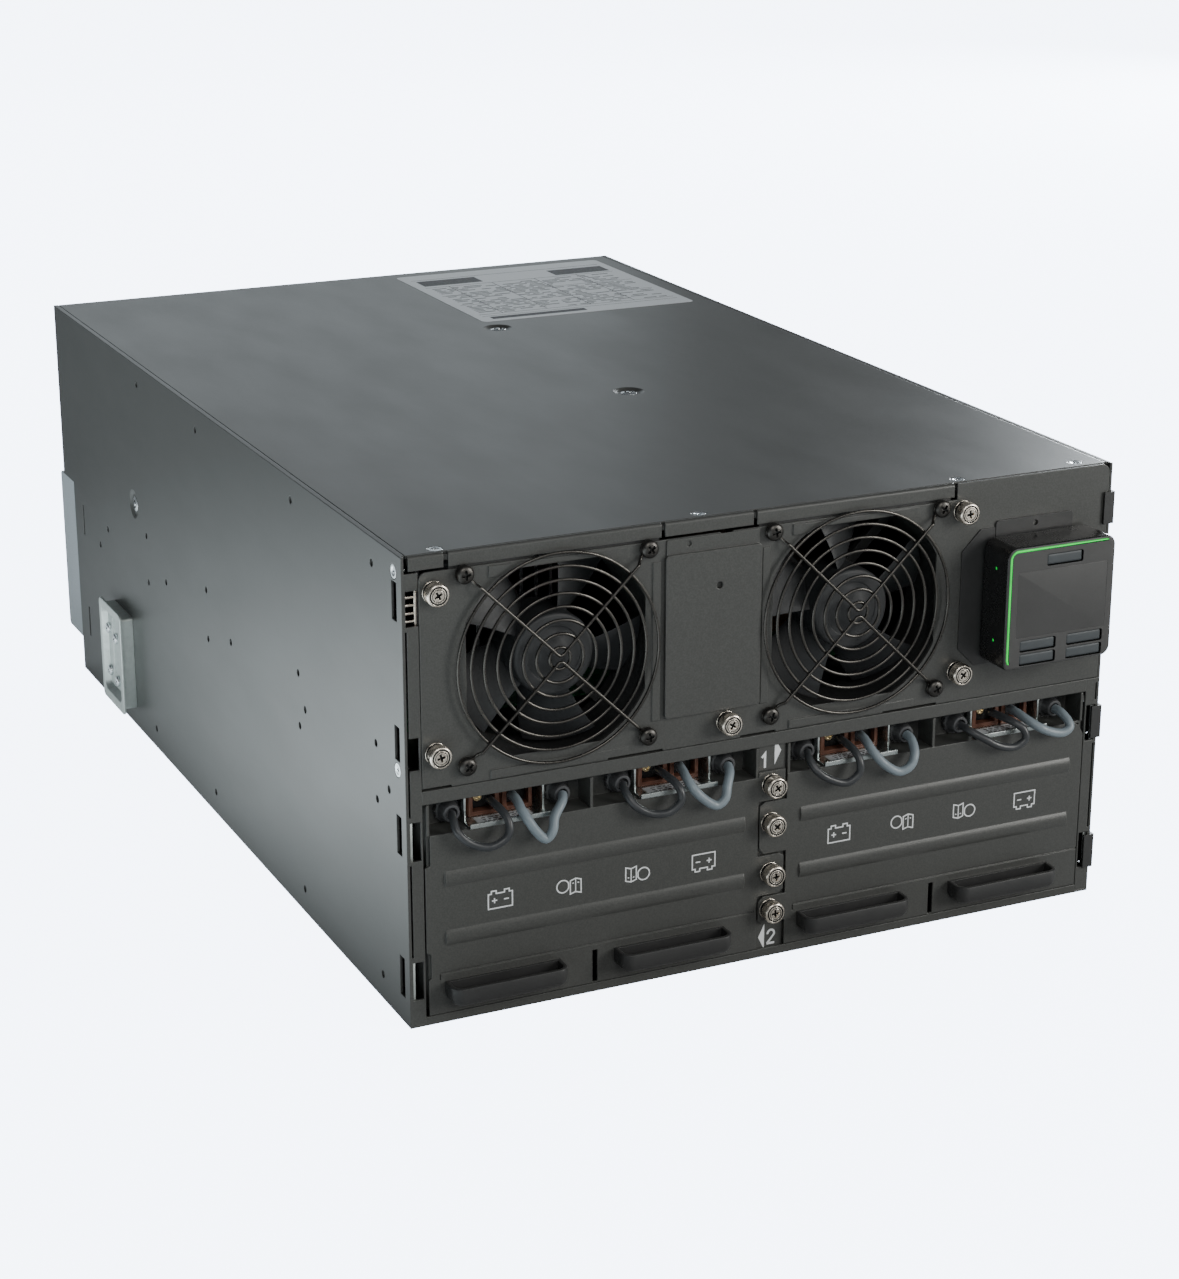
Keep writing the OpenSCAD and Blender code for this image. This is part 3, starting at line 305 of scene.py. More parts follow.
CHARCOAL = (0.054, 0.0555, 0.053)
looks = {
    "charcoal_steel": powder_coat("charcoal_powder_coat", CHARCOAL, 0.34, 0.35, 0.8),
    "black_plastic": moulded("black_moulded_plastic", (0.031, 0.0315, 0.032), 0.4, 0.2),
    "fan_plastic": moulded("fan_plastic", (0.028, 0.030, 0.032), 0.5, 0.08),
    "guard_wire": plated("black_coated_wire", (0.10, 0.095, 0.088), 0.3, (1, 1, 1), 0.3),
    "zinc_steel": plated("zinc_plated_steel", (0.62, 0.67, 0.66), 0.28),
    "nickel_plate": plated("nickel_plate", (0.88, 0.80, 0.70), 0.24, (1, 1, 1), 0.1, 0.04),
    "terminal_grey": powder_coat("pale_grey_paint", (0.42, 0.46, 0.49), 0.4, 0.1),
    "circuit_board": board("solder_mask"),
    "bare_aluminium": plated("extruded_aluminium", (0.72, 0.73, 0.75), 0.35, (1, 0.1, 1)),
    "capacitor_can": moulded("capacitor_sleeve", (0.02, 0.03, 0.1), 0.3, 0.05),
    "transformer_core": moulded("varnished_core", (0.12, 0.06, 0.025), 0.35, 0.3),
    "display_face": moulded("display_face_plastic", (0.05, 0.05, 0.05), 0.5, 0.12),
    "light_green": glowing("green_light_guide", (0.0, 0.75, 0.07), 0.6),
    "key_rubber": jacket("key_rubber", (0.05, 0.058, 0.064), 0.5),
    "lever_white": moulded("lever_plastic", (0.6, 0.6, 0.56), 0.35, 0.1),
    "cell_plastic": moulded("battery_case_plastic", (0.045, 0.048, 0.052), 0.5, 0.4),
    "connector_brown": moulded("connector_plastic", (0.13, 0.055, 0.035), 0.4, 0.2),
    "dark_lead": jacket("dark_lead_jacket", (0.035, 0.038, 0.042), 0.36),
    "grey_lead": jacket("grey_lead_jacket", (0.19, 0.23, 0.26), 0.42),
}
white_ink = ink("white_ink", (0.78, 0.8, 0.82))
dark_ink = ink("dark_ink", (0.03, 0.033, 0.037))
label_film = ink("label_film", (0.6, 0.63, 0.66), 0.35)
gloss_black = moulded("gloss_black", (0.012, 0.012, 0.012), 0.22, 0.05)
# near-black material painted into screw recesses, grooves and connector pockets as shade
recess_shade_black = moulded("recess_shade_black", (0.006, 0.006, 0.006), 0.5, 0.1)
black_screw = plated("black_oxide_screw", (0.075, 0.072, 0.068), 0.36, (1, 1, 1), 0.3)
gland_grey = moulded("gland_plastic", (0.06, 0.062, 0.066), 0.42, 0.15)
screw_zinc = plated("bright_zinc", (0.78, 0.82, 0.84), 0.22, (1, 1, 1), 0.1, 0.05)
pale_zinc = plated("dull_zinc", (0.66, 0.71, 0.69), 0.5, (1, 1, 6), 0.15, 0.08)
brass = plated("brass", (0.85, 0.68, 0.4), 0.25, (1, 1, 1), 0.2)
terminal_red = moulded("terminal_red", (0.3, 0.01, 0.01), 0.4, 0.1)

for row in frame["record"]["subparts"]:
    node = frame["nodes"][row["node"]]
    node.data.materials.clear()
    node.data.materials.append(looks[row["material_slot"]])


# ---------- mesh helpers ----------


def piece(name, bm, body, slot, materials=None, replaces=(), smooth=32):
    """Turns bm into a shown piece that rides on body and stands for the named CAD nodes."""
    bmesh.ops.remove_doubles(bm, verts=bm.verts, dist=1e-7)
    bmesh.ops.recalc_face_normals(bm, faces=bm.faces)
    mesh = bpy.data.meshes.new(name)
    bm.to_mesh(mesh)
    bm.free()
    obj = bpy.data.objects.new(name, mesh)
    bpy.context.collection.objects.link(obj)
    for material in materials or [looks[slot]]:
        mesh.materials.append(material)
    mesh.shade_smooth()
    mesh.set_sharp_from_angle(angle=math.radians(smooth))
    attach(obj, body)
    if replaces:
        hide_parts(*replaces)
    return obj


TURNS = {"front": (90, "X"), "up": (0, "X"), "left": (-90, "Y"), "right": (90, "Y")}


def facing(x, y, z, spin=0, way="front"):
    """A matrix whose own +Z points out of the front, or another way, at a place in millimetres."""
    angle, axis = TURNS[way]
    return (
        Matrix.Translation(point(x, y, z))
        @ Matrix.Rotation(math.radians(angle), 4, axis)
        @ Matrix.Rotation(math.radians(spin), 4, "Z")
        @ Matrix.Scale(MM, 4)
    )


def lathe(bm, profile, matrix, segments):
    """Turns a [radius, height, material?] profile about the matrix's own Z. Both ends close on the axis."""
    rings = []
    for row in profile:
        radius, height = row[0], row[1]
        if radius == 0:
            rings.append([bm.verts.new(matrix @ Vector((0, 0, height)))])
            continue
        turns = [2 * math.pi * i / segments for i in range(segments)]
        rings.append(
            [bm.verts.new(matrix @ Vector((radius * math.cos(a), radius * math.sin(a), height))) for a in turns]
        )
    for row, low, high in zip(profile, rings, rings[1:]):
        number = row[2] if len(row) > 2 else 0
        for i in range(segments):
            j = (i + 1) % segments
            corners = [low[i % len(low)], low[j % len(low)], high[j % len(high)], high[i % len(high)]]
            unique = list(dict.fromkeys(corners))
            if len(unique) > 2:
                bm.faces.new(unique).material_index = number


def slab(bm, outline, y0, y1, bevel=0.0):
    """A closed plate from an [x, z] outline between two depths, its front edge bevelled."""
    before = set(bm.faces)
    back = [bm.verts.new(point(x, y1, z)) for x, z in outline]
    front = [bm.verts.new(point(x, y0, z)) for x, z in outline]
    cap = bm.faces.new(front)
    bm.faces.new(back[::-1])
    count = len(outline)
    for i in range(count):
        bm.faces.new([front[i], back[i], back[(i + 1) % count], front[(i + 1) % count]])
    made = [f for f in bm.faces if f not in before]
    bmesh.ops.recalc_face_normals(bm, faces=made)
    if bevel:
        bmesh.ops.bevel(
            bm, geom=list(cap.edges), offset=bevel * MM, segments=3, profile=0.5,
            affect="EDGES", clamp_overlap=True, material=0,
        )


def arc(cx, cz, r, start, end, steps=6):
    turns = [math.radians(start + (end - start) * i / steps) for i in range(steps + 1)]
    return [(cx + r * math.cos(a), cz + r * math.sin(a)) for a in turns]


def rounded(x0, z0, x1, z1, radii, steps=6):
    """A rectangle's outline with its own corner radii, from the lower left, anticlockwise."""
    a, b, c, d = radii
    return (
        arc(x0 + a, z0 + a, a, 180, 270, steps)
        + arc(x1 - b, z0 + b, b, 270, 360, steps)
        + arc(x1 - c, z1 - c, c, 0, 90, steps)
        + arc(x0 + d, z1 - d, d, 90, 180, steps)
    )


def block(bm, low, high, bevel, segments=2, material=0):
    """A box between two corners in millimetres with all its edges rounded."""
    made = bmesh.ops.create_cube(bm, size=1)["verts"]
    a, b = point(*low), point(*high)
    for v in made:
        v.co = Vector(a[i] if v.co[i] < 0 else b[i] for i in range(3))
    faces = {f for v in made for f in v.link_faces}
    for face in faces:
        face.material_index = material
    if bevel:
        edges = list({e for f in faces for e in f.edges})
        bmesh.ops.bevel(
            bm, geom=edges, offset=bevel * MM, segments=segments, profile=0.5,
            affect="EDGES", clamp_overlap=True, material=material,
        )


def carve(bm, cutter):
    """bm less the solid of cutter, both closed. Takes both and returns a new bmesh."""
    objects = []
    for source in (bm, cutter):
        bmesh.ops.recalc_face_normals(source, faces=source.faces)
        mesh = bpy.data.meshes.new("work")
        source.to_mesh(mesh)
        source.free()
        objects.append(bpy.data.objects.new("work", mesh))
        bpy.context.collection.objects.link(objects[-1])
    cut = objects[0].modifiers.new("cut", "BOOLEAN")
    cut.operation, cut.solver, cut.object = "DIFFERENCE", "EXACT", objects[1]
    bpy.context.view_layer.update()
    result = bmesh.new()
    result.from_mesh(objects[0].evaluated_get(bpy.context.evaluated_depsgraph_get()).data)
    for obj in objects:
        mesh = obj.data
        bpy.data.objects.remove(obj)
        bpy.data.meshes.remove(mesh)
    return result


def stamp(bm, master, matrix):
    """Adds a copy of the master bmesh to bm, moved by matrix."""
    mesh = bpy.data.meshes.new("work")
    master.to_mesh(mesh)
    mesh.transform(matrix)
    bm.from_mesh(mesh)
    bpy.data.meshes.remove(mesh)


def smooth_path(points, steps):
    """A Catmull-Rom curve through the points, steps to a span."""
    padded = [2 * points[0] - points[1], *points, 2 * points[-1] - points[-2]]
    path = []
    for i in range(1, len(padded) - 2):
        p0, p1, p2, p3 = padded[i - 1 : i + 3]
        for k in range(steps):
            t = k / steps
            path.append(
                0.5 * (2 * p1 + (p2 - p0) * t + (2 * p0 - 5 * p1 + 4 * p2 - p3) * t**2
                       + (3 * p1 - p0 - 3 * p2 + p3) * t**3)
            )
    return path + [points[-1]]


def wires(name, lines, radius, body, slot, replaces=(), rings=(), resolution=4):
    """Round wire: open lines and closed rings, swept as a curve and kept as one mesh.
    """
    data = bpy.data.curves.new(name, "CURVE")
    data.dimensions = "3D"
    data.bevel_depth = radius * MM
    data.bevel_resolution = resolution
    data.use_fill_caps = True
    for closed, group in ((False, lines), (True, rings)):
        for line in group:
            spline = data.splines.new("POLY")
            spline.points.add(len(line) - 1)
            spline.use_cyclic_u = closed
            for target, place in zip(spline.points, line):
                target.co = (*place, 1)
    swept = bpy.data.objects.new("swept", data)
    mesh = bpy.data.meshes.new_from_object(swept)
    bpy.data.curves.remove(data)
    mesh.materials.clear()
    mesh.materials.append(looks[slot])
    obj = bpy.data.objects.new(name, mesh)
    bpy.context.collection.objects.link(obj)
    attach(obj, body)
    if replaces:
        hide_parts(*replaces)
    return obj


# ---------- leads ----------

# Routes from part.scad: [x from the connector's middle, depth, z] in millimetres.
LEAD_ROUTES = {
    ("left", "dark"): [
        [(-31, 6, 117), (-32.5, 0, 115.5), (-32, -5, 110), (-25, -7, 103.5), (-15, -8, 100.5),
         (-6, -8, 104), (-3.5, -7, 110), (-4.5, -3, 115.5), (-6.5, 4, 118.5), (-7, 13, 119)],
        [(-31, 6, 117), (-32, 0, 114), (-28.5, -5, 107.5), (-20, -7, 102.5), (-10, -8, 102),
         (-3, -8, 107), (-2.5, -7, 112.5), (-4, -3, 116.5), (-6, 4, 118.5), (-7, 13, 119)],
    ],
    ("left", "grey"): [
        [(6.5, 13, 119), (6, 5, 118.5), (5.5, -2, 116), (7.5, -7, 111), (12, -8, 104),
         (17, -8, 99.5), (21, -8, 103.5), (23.5, -5, 110), (30, 0, 115.5), (33, 6, 117)],
        [(6.5, 13, 119), (5, 5, 118.5), (4, -2, 116.5), (6.5, -7, 111), (12.5, -8, 105),
         (19, -8, 101), (24.5, -7.5, 104), (27, -5, 110), (31, 0, 115.5), (33, 6, 117)],
    ],
    ("right", "dark"): [
        [(-31, 6, 117), (-33, 0, 115), (-30.5, -5, 109), (-23, -7, 103.5), (-13, -8, 100.5),
         (-5.5, -8, 105), (-4.5, -7, 111), (-5.5, -3, 116), (-6.8, 4, 118.5), (-7, 13, 119)],
        [(-31, 6, 117), (-29, -1, 115.5), (-22, -6, 111), (-13, -8, 106), (-3, -8, 104),
         (4, -8, 107.5), (3.5, -7, 113), (-1, -3.5, 117), (-5, 4, 118.8), (-7, 13, 119)],
    ],
    ("right", "grey"): [
        [(6.5, 13, 119), (5.5, 5, 118.5), (5, -2, 116), (8, -7, 110.5), (14, -8, 105),
         (21, -8, 101.5), (28, -8, 104), (31.5, -6, 110), (33, 0, 115.5), (33, 6, 117)],
        [(6.5, 13, 119), (7, 5, 118.5), (9, -2, 116.5), (14, -7, 113), (21, -8, 109.5),
         (29, -8, 107.5), (34.5, -7.5, 109.5), (35, -5, 113), (33.5, 0, 116.5), (33, 6, 117)],
    ],
}
LEAD_DIAMETER = {"dark": 4.5, "grey": 5.3}


def make_leads():
    """Each short lead as one smooth cord between its gland and its connector."""
    for (side, tone), routes in LEAD_ROUTES.items():
        for number, (middle, route) in enumerate(zip(connectors(side), routes), 1):
            path = smooth_path([point(middle + x, y, z) for x, y, z in route], 4)
            name = f"battery_{side}_{tone}_lead_{number}"
            cord = wires(
                name, [path], LEAD_DIAMETER[tone] / 2, f"battery_{side}", f"{tone}_lead",
                [f"battery_{side}_{tone}_leads"], resolution=6,
            )


make_leads()


# ---------- screws ----------


def cross_cutter(size, top, depth):
    """A Phillips recess: a cross, wide at the mouth, that narrows with depth."""
    bm = bmesh.new()
    rings = []
    for height, reach, wing in ((top + 0.3, 0.53, 0.15), (top - 0.35 * depth, 0.46, 0.12), (top - depth, 0.2, 0.09)):
        s, w = reach * size, wing * size
        plus = [
            (w, w), (w, s), (-w, s), (-w, w), (-s, w), (-s, -w),
            (-w, -w), (-w, -s), (w, -s), (w, -w), (s, -w), (s, w),
        ]
        rings.append([bm.verts.new((x, y, height)) for x, y in plus])
    for upper, lower in zip(rings, rings[1:]):
        for i in range(12):
            j = (i + 1) % 12
            bm.faces.new([upper[i], upper[j], lower[j], lower[i]])
    bm.faces.new(rings[0])
    bm.faces.new(rings[-1][::-1])
    return bm


def screw(profile, size, top, depth, segments=40, recess=1):
    """A turned screw with its Phillips recess painted near black as shade, its axis along +Z, in millimetres."""
    bm = bmesh.new()
    lathe(bm, profile, Matrix.Identity(4), segments)
    bm = carve(bm, cross_cutter(size, top, depth))
    for face in bm.faces:
        middle = face.calc_center_median()
        if top - depth - 0.1 < middle.z < top - 0.25 and middle.xy.length < 0.56 * size:
            face.material_index = recess
    return bm


def thread(radius, start, end, pitch=0.8):
    """Profile rows of a thread between two heights, drawn as close ridges."""
    rows, height = [], start
    while height < end - pitch:
        rows += [(radius - 0.3, height), (radius, height + pitch / 2)]
        height += pitch
    return rows


# Material 1 is near black: painted shade on the neck between washer and head and in the head's ring grooves.
NICKEL, PAINTED_SHADE = 0, 1
THUMB_HEAD = [
    (2.0, -0.9, NICKEL), (2.0, 0, NICKEL), (5.7, 0, NICKEL), (6.0, 0.15, NICKEL), (6.0, 0.55, NICKEL),
    (5.8, 0.7, PAINTED_SHADE), (4.9, 0.75, PAINTED_SHADE), (4.9, 2.9, NICKEL), (5.9, 2.95, NICKEL), (6.2, 3.15, NICKEL),
    (6.25, 3.5, NICKEL), (6.25, 7.2, NICKEL), (6.1, 7.75, NICKEL), (5.75, 8.2, NICKEL), (5.3, 8.4, NICKEL),
    (4.95, 8.36, PAINTED_SHADE), (4.8, 7.8, PAINTED_SHADE), (4.3, 7.75, PAINTED_SHADE), (4.15, 8.34, NICKEL), (3.55, 8.42, PAINTED_SHADE),
    (3.45, 8.1, PAINTED_SHADE), (3.25, 8.1, PAINTED_SHADE), (3.15, 8.38, NICKEL), (0, 8.3, NICKEL),
]


def make_thumb_screws():
    """The captive screws of the fan panel and of the two battery modules."""
    groups = {
        "fan_panel_screws": (8, [(-199, 243), (-199, 155), (-29, 146), (117, 247), (117, 153)]),
        "battery_left_screws": (9, [(0, 104.5), (0, 51.5)]),
        "battery_right_screws": (9, [(0, 81.6), (0, 29.3)]),
    }
    for body, (reach, places) in groups.items():
        profile = [(0, -reach, NICKEL), (1.4, -reach, NICKEL)]
        profile += thread(2.0, -reach + 0.4, -1) + THUMB_HEAD
        master = screw(profile, 4.6, 8.3, 2.0, 56)
        bm = bmesh.new()
        for x, z in places:
            stamp(bm, master, facing(x, -0.3, z, random.uniform(0, 90)))
        master.free()
        piece(
            f"{body}_turned", bm, body, "nickel_plate",
            [looks["nickel_plate"], recess_shade_black], [body],
        )


def make_guard_screws():
    """Black pan-head screws at the fan guards' eyes."""
    profile = [
        (0, -8), (1.9, -8), (1.9, 0), (4.6, 0), (5.0, 0.2), (5.0, 1.0), (4.85, 1.5), (4.45, 2.0),
        (3.8, 2.45), (2.8, 2.8), (1.5, 2.95), (0, 3.0),
    ]
    master = screw(profile, 5.2, 2.85, 1.7)
    bm = bmesh.new()
    for fan in FANS:
        for dx in (-1, 1):
            for dz in (-1, 1):
                place = facing(FANS[fan][0] + dx * FAN_EYE, -2, FAN_Z + dz * FAN_EYE, random.uniform(0, 90))
                stamp(bm, master, place)
    master.free()
    piece("fan_guard_screws", bm, "chassis", "guard_wire", [black_screw, recess_shade_black], ["guard_screws"])


def make_case_screws():
    """Flush screws of the cover and sides, and the low screws in their round dishes."""
    flush = screw([
        (0, -6), (1.2, -6), *thread(1.5, -5.6, -1.2), (1.5, -0.9), (3.8, -0.9), (3.85, -0.2), (3.7, -0.06),
        (2.6, -0.06), (2.3, -0.25), (0, -0.3),
    ], 3.0, -0.25, 0.9)
    dished = bmesh.new()
    # the ring wall and floor of material 1 are near black: a painted shadow ring in the dish
    lathe(dished, [
        (0, -5), (2.2, -5), (2.2, 0), (5, 0), (5, 0.2), (2.8, 0.75, 1), (2.6, 0.2, 1), (1.75, 0.2), (1.65, 0.85),
        (1.3, 1.0), (0, 1.05),
    ], Matrix.Identity(4), 40)
    bm = bmesh.new()
    for x, y in ((-194, 8), (-43, 8), (118, 8), (197, 10)):
        stamp(bm, flush, facing(x, y, CASE_HEIGHT, random.uniform(0, 90), "up"))
    for x, y in ((42, 269), (40, 470)):
        stamp(bm, dished, facing(x, y, CASE_HEIGHT - 1.3, 0, "up"))
    for side, sign in SIDES.items():
        for z in (253, 144.5):
            stamp(bm, flush, facing(sign * CASE_HALF, 11, z, random.uniform(0, 90), side))
        stamp(bm, dished, facing(sign * (CASE_HALF - 1.3), 489, 164, 0, side))
    flush.free()
    dished.free()
    piece("case_turned_screws", bm, "chassis", "zinc_steel", [screw_zinc, recess_shade_black], ["case_screws"])


def make_brackets():
    """Pressed pans on both sides, their rims turned out, and the bright screws in them."""
    pan, heads = bmesh.new(), bmesh.new()
    rings = [
        (508, 13, 553, 79, 3, 216.05), (508, 13, 553, 79, 3, 223.9), (507, 12, 554, 80, 4, 224.5),
        (505, 10, 556, 82, 4, 224.6), (505, 10, 556, 82, 4, 225.7), (505.3, 10.3, 555.7, 81.7, 3.8, 226),
        (510.4, 16.4, 551.6, 76.6, 5, 226), (511, 17, 551, 76, 5, 225.6), (512.6, 18.8, 549.4, 74.2, 4, 222.2),
        (513.6, 19.8, 548.4, 73.2, 3.6, 221.2),
    ]
    master = screw([
        (0, -3), (2.0, -3), (2.2, -2.6), (2.2, 0), (3.8, 0), (3.85, 1.1), (3.5, 1.8), (2.6, 2.25), (0, 2.4),
    ], 4.0, 2.3, 1.4)
    for side, sign in SIDES.items():
        loft(pan, [
            [point(sign * x, a, b) for a, b in rounded(y0, z0, y1, z1, [r] * 4)] for y0, z0, y1, z1, r, x in rings
        ])
        low, high = sorted((sign * 220.6, sign * 222.1))
        block(pan, (low, 538, 20.5), (high, 549, 72.5), 0.5)
        for y, z in ((546, 61), (532, 57), (546, 30), (532, 26)):
            stamp(heads, master, facing(sign * (222.1 if y > 540 else 221.2), y, z, random.uniform(0, 90), side))
    master.free()
    piece("rail_bracket_pans", pan, "chassis", "zinc_steel", [pale_zinc], ["rail_brackets"])
    piece("rail_bracket_screws", heads, "chassis", "zinc_steel", [screw_zinc, recess_shade_black], ["bracket_screws"])


def make_contact_strips():
    """The plated spring comb in the left column and the dull strips behind the lower windows."""
    bm = bmesh.new()
    block(bm, (-208.5, 1.6, 222.6), (-207.1, 2.9, 246.5), 0.3)
    block(bm, (-214.3, 1.6, 222.6), (-213.3, 2.9, 246.5), 0.3)
    for i in range(6):
        z = 223.0 + i * 4.3
        block(bm, (-214, 1.7, z), (-207.6, 2.8, z + 1.4), 0.5, 3)
    for sign in SIDES.values():
        for z0, z1 in ((95, 119), (15, 39)):
            low, high = sorted((sign * 212.1, sign * 214.3))
            block(bm, (low, 1.6, z0), (high, 2.5, z1), 0.3, 2, 1)
    piece(
        "column_contact_strips", bm, "chassis", "nickel_plate", [looks["nickel_plate"], pale_zinc],
        ["contact_strips"],
    )


# ---------- fans ----------

# name: (x of the axis, angle of the first blade's leading edge in degrees)
FANS = {"left": (-129.5, 84), "right": (50, 110)}
FAN_Z = 198
FAN_EYE = 52.5
BLADES = 5


def ring(x, z, y, radius, steps=96):
    turns = [2 * math.pi * i / steps for i in range(steps)]
    return [point(x + radius * math.cos(a), y, z + radius * math.sin(a)) for a in turns]


def make_guards():
    """Both wire guards: eight rings, two bent spoke wires, and an eye at each screw."""
    rings, spokes = [], []
    for x, _ in FANS.values():
        rings += [ring(x, FAN_Z, -3.6, r) for r in (6, 13.5, 21, 28.3, 35.6, 43, 50.4, 57.8)]
        rings += [
            ring(x + dx * FAN_EYE, FAN_Z + dz * FAN_EYE, -1.1, 4.1, 32) for dx in (-1, 1) for dz in (-1, 1)
        ]
        half = [(49.6, 49.7, -1.1), (48.3, 48.4, -1.2), (46.6, 46.5, -2.6), (45.0, 45.1, -4.7),
                (43.2, 43.4, -5.1), (24, 24.6, -5.1), (7, 7.9, -5.1), (3.4, 4.2, -5.1), (1.6, 2.4, -5.1)]
        for up in (-1, 1):
            path = [(-a, b, c) for a, b, c in half] + [(0, 1.8, -5.1)] + [tuple(p) for p in half[::-1]]
            line = [point(x + a, c, FAN_Z + up * b) for a, b, c in path]
            spokes.append(smooth_path(line, 6))
    wires("fan_guard_wires", spokes, 0.88, "chassis", "guard_wire", ["fan_guards"], rings)


def make_rotors():
    """Each rotor: a cup-shaped hub, its shaft and swept, cambered blades."""
    hub = [
        (0, -4.0), (8.6, -4.0), (9.0, -4.25), (15.2, -4.25), (15.6, -3.85), (20.6, -3.75), (21.8, -4.0),
        (22.6, -4.7), (23.0, -6.0), (23.0, -33.2), (22.0, -33.4), (21.4, -33.0), (21.4, -7.5),
        (3.2, -7.0), (2.6, -10.0), (2.0, -10.4), (2.0, -36.4), (0, -36.4),
    ]
    for name, (x, lead) in FANS.items():
        bm = bmesh.new()
        lathe(bm, hub, facing(x, 0, FAN_Z), 72)
        for number in range(BLADES):
            blade(bm, x, lead - number * 360 / BLADES)
        piece(f"fan_{name}_moulded_rotor", bm, f"fan_{name}", "fan_plastic", None, [f"fan_{name}_rotor"], 40)


def blade(bm, x, lead):
    """One closed blade, from its leading edge at an angle back into the duct."""
    across, outward = 14, 9
    skins = []
    for side in (-1, 1):
        grid = []
        for j in range(outward + 1):
            v = j / outward
            radius = 22.0 + (55.2 - 22.0) * v
            row = []
            for i in range(across + 1):
                u = i / across
                turn = lead - 5 * (1 - v) - u * (46 - 8 * v)
                depth = 9.5 + 3 * v + (23.5 - 7 * v) * (0.72 * u + 0.28 * u**2)
                half = (0.95 - 0.3 * v) * math.sqrt(max(0.0, 1 - (2 * u - 1) ** 4)) + 0.12
                angle = math.radians(turn)
                row.append(bm.verts.new(point(
                    x + radius * math.cos(angle), depth + side * half, FAN_Z + radius * math.sin(angle)
                )))
            grid.append(row)
        skins.append(grid)
    front, back = skins
    for j in range(outward):
        for i in range(across):
            bm.faces.new([front[j][i], front[j][i + 1], front[j + 1][i + 1], front[j + 1][i]])
            bm.faces.new([back[j][i], back[j + 1][i], back[j + 1][i + 1], back[j][i + 1]])
    for i in range(across):
        for j in (0, outward):
            bm.faces.new([front[j][i], back[j][i], back[j][i + 1], front[j][i + 1]])
    for j in range(outward):
        for i in (0, across):
            bm.faces.new([front[j][i], front[j + 1][i], back[j + 1][i], back[j][i]])


# ---------- display ----------

DISPLAY = (131, 159, 202, 230)  # left, bottom, right and top of the head
DISPLAY_FACE = -27
KEYS = {
    "menu_button": (37.5, 9.3), "upper_left_button": (22, 58), "lower_left_button": (22, 66),
    "upper_right_button": (53, 58), "lower_right_button": (53, 66),
}
KEY_SIZE = (23, 6)


def loft(bm, outlines):
    """A skin over equal-length rings of places, closed at its ends."""
    rings = [[bm.verts.new(p) for p in outline] for outline in outlines]
    count = len(rings[0])
    for low, high in zip(rings, rings[1:]):
        for i in range(count):
            j = (i + 1) % count
            bm.faces.new([low[i], low[j], high[j], high[i]])
    bm.faces.new(rings[0][::-1])
    bm.faces.new(rings[-1])


def display_ring(inset, y):
    """The head's outline pulled in by inset, at a depth."""
    x0, z0, x1, z1 = DISPLAY
    radii = [max(0.4, r - inset) for r in (3, 6, 6, 6)]
    return [point(x, y, z) for x, z in rounded(x0 + inset, z0 + inset, x1 - inset, z1 - inset, radii, 8)]


def light_path():
    """The light guide's middle line, up the left edge and along the top."""
    x0, z0, x1, z1 = DISPLAY
    corner = arc(x0 + 6.6, z1 - 6.6, 4.4, 180, 90, 8)
    line = [(x0 + 3.1, z0 + 3.6), (x0 + 2.2, z0 + 6), *corner, (x1 - 5.0, z1 - 2.2)]
    return line


def strip_cutter(line, half, y0, y1):
    """A closed trough along an [x, z] line."""
    bm = bmesh.new()
    left, right = [], []
    for i, (x, z) in enumerate(line):
        ax, az = line[max(0, i - 1)]
        bx, bz = line[min(len(line) - 1, i + 1)]
        size = math.hypot(bx - ax, bz - az)
        nx, nz = -(bz - az) / size * half, (bx - ax) / size * half
        left.append((x + nx, z + nz))
        right.append((x - nx, z - nz))
    slab(bm, left + right[::-1], y0, y1)
    return bm


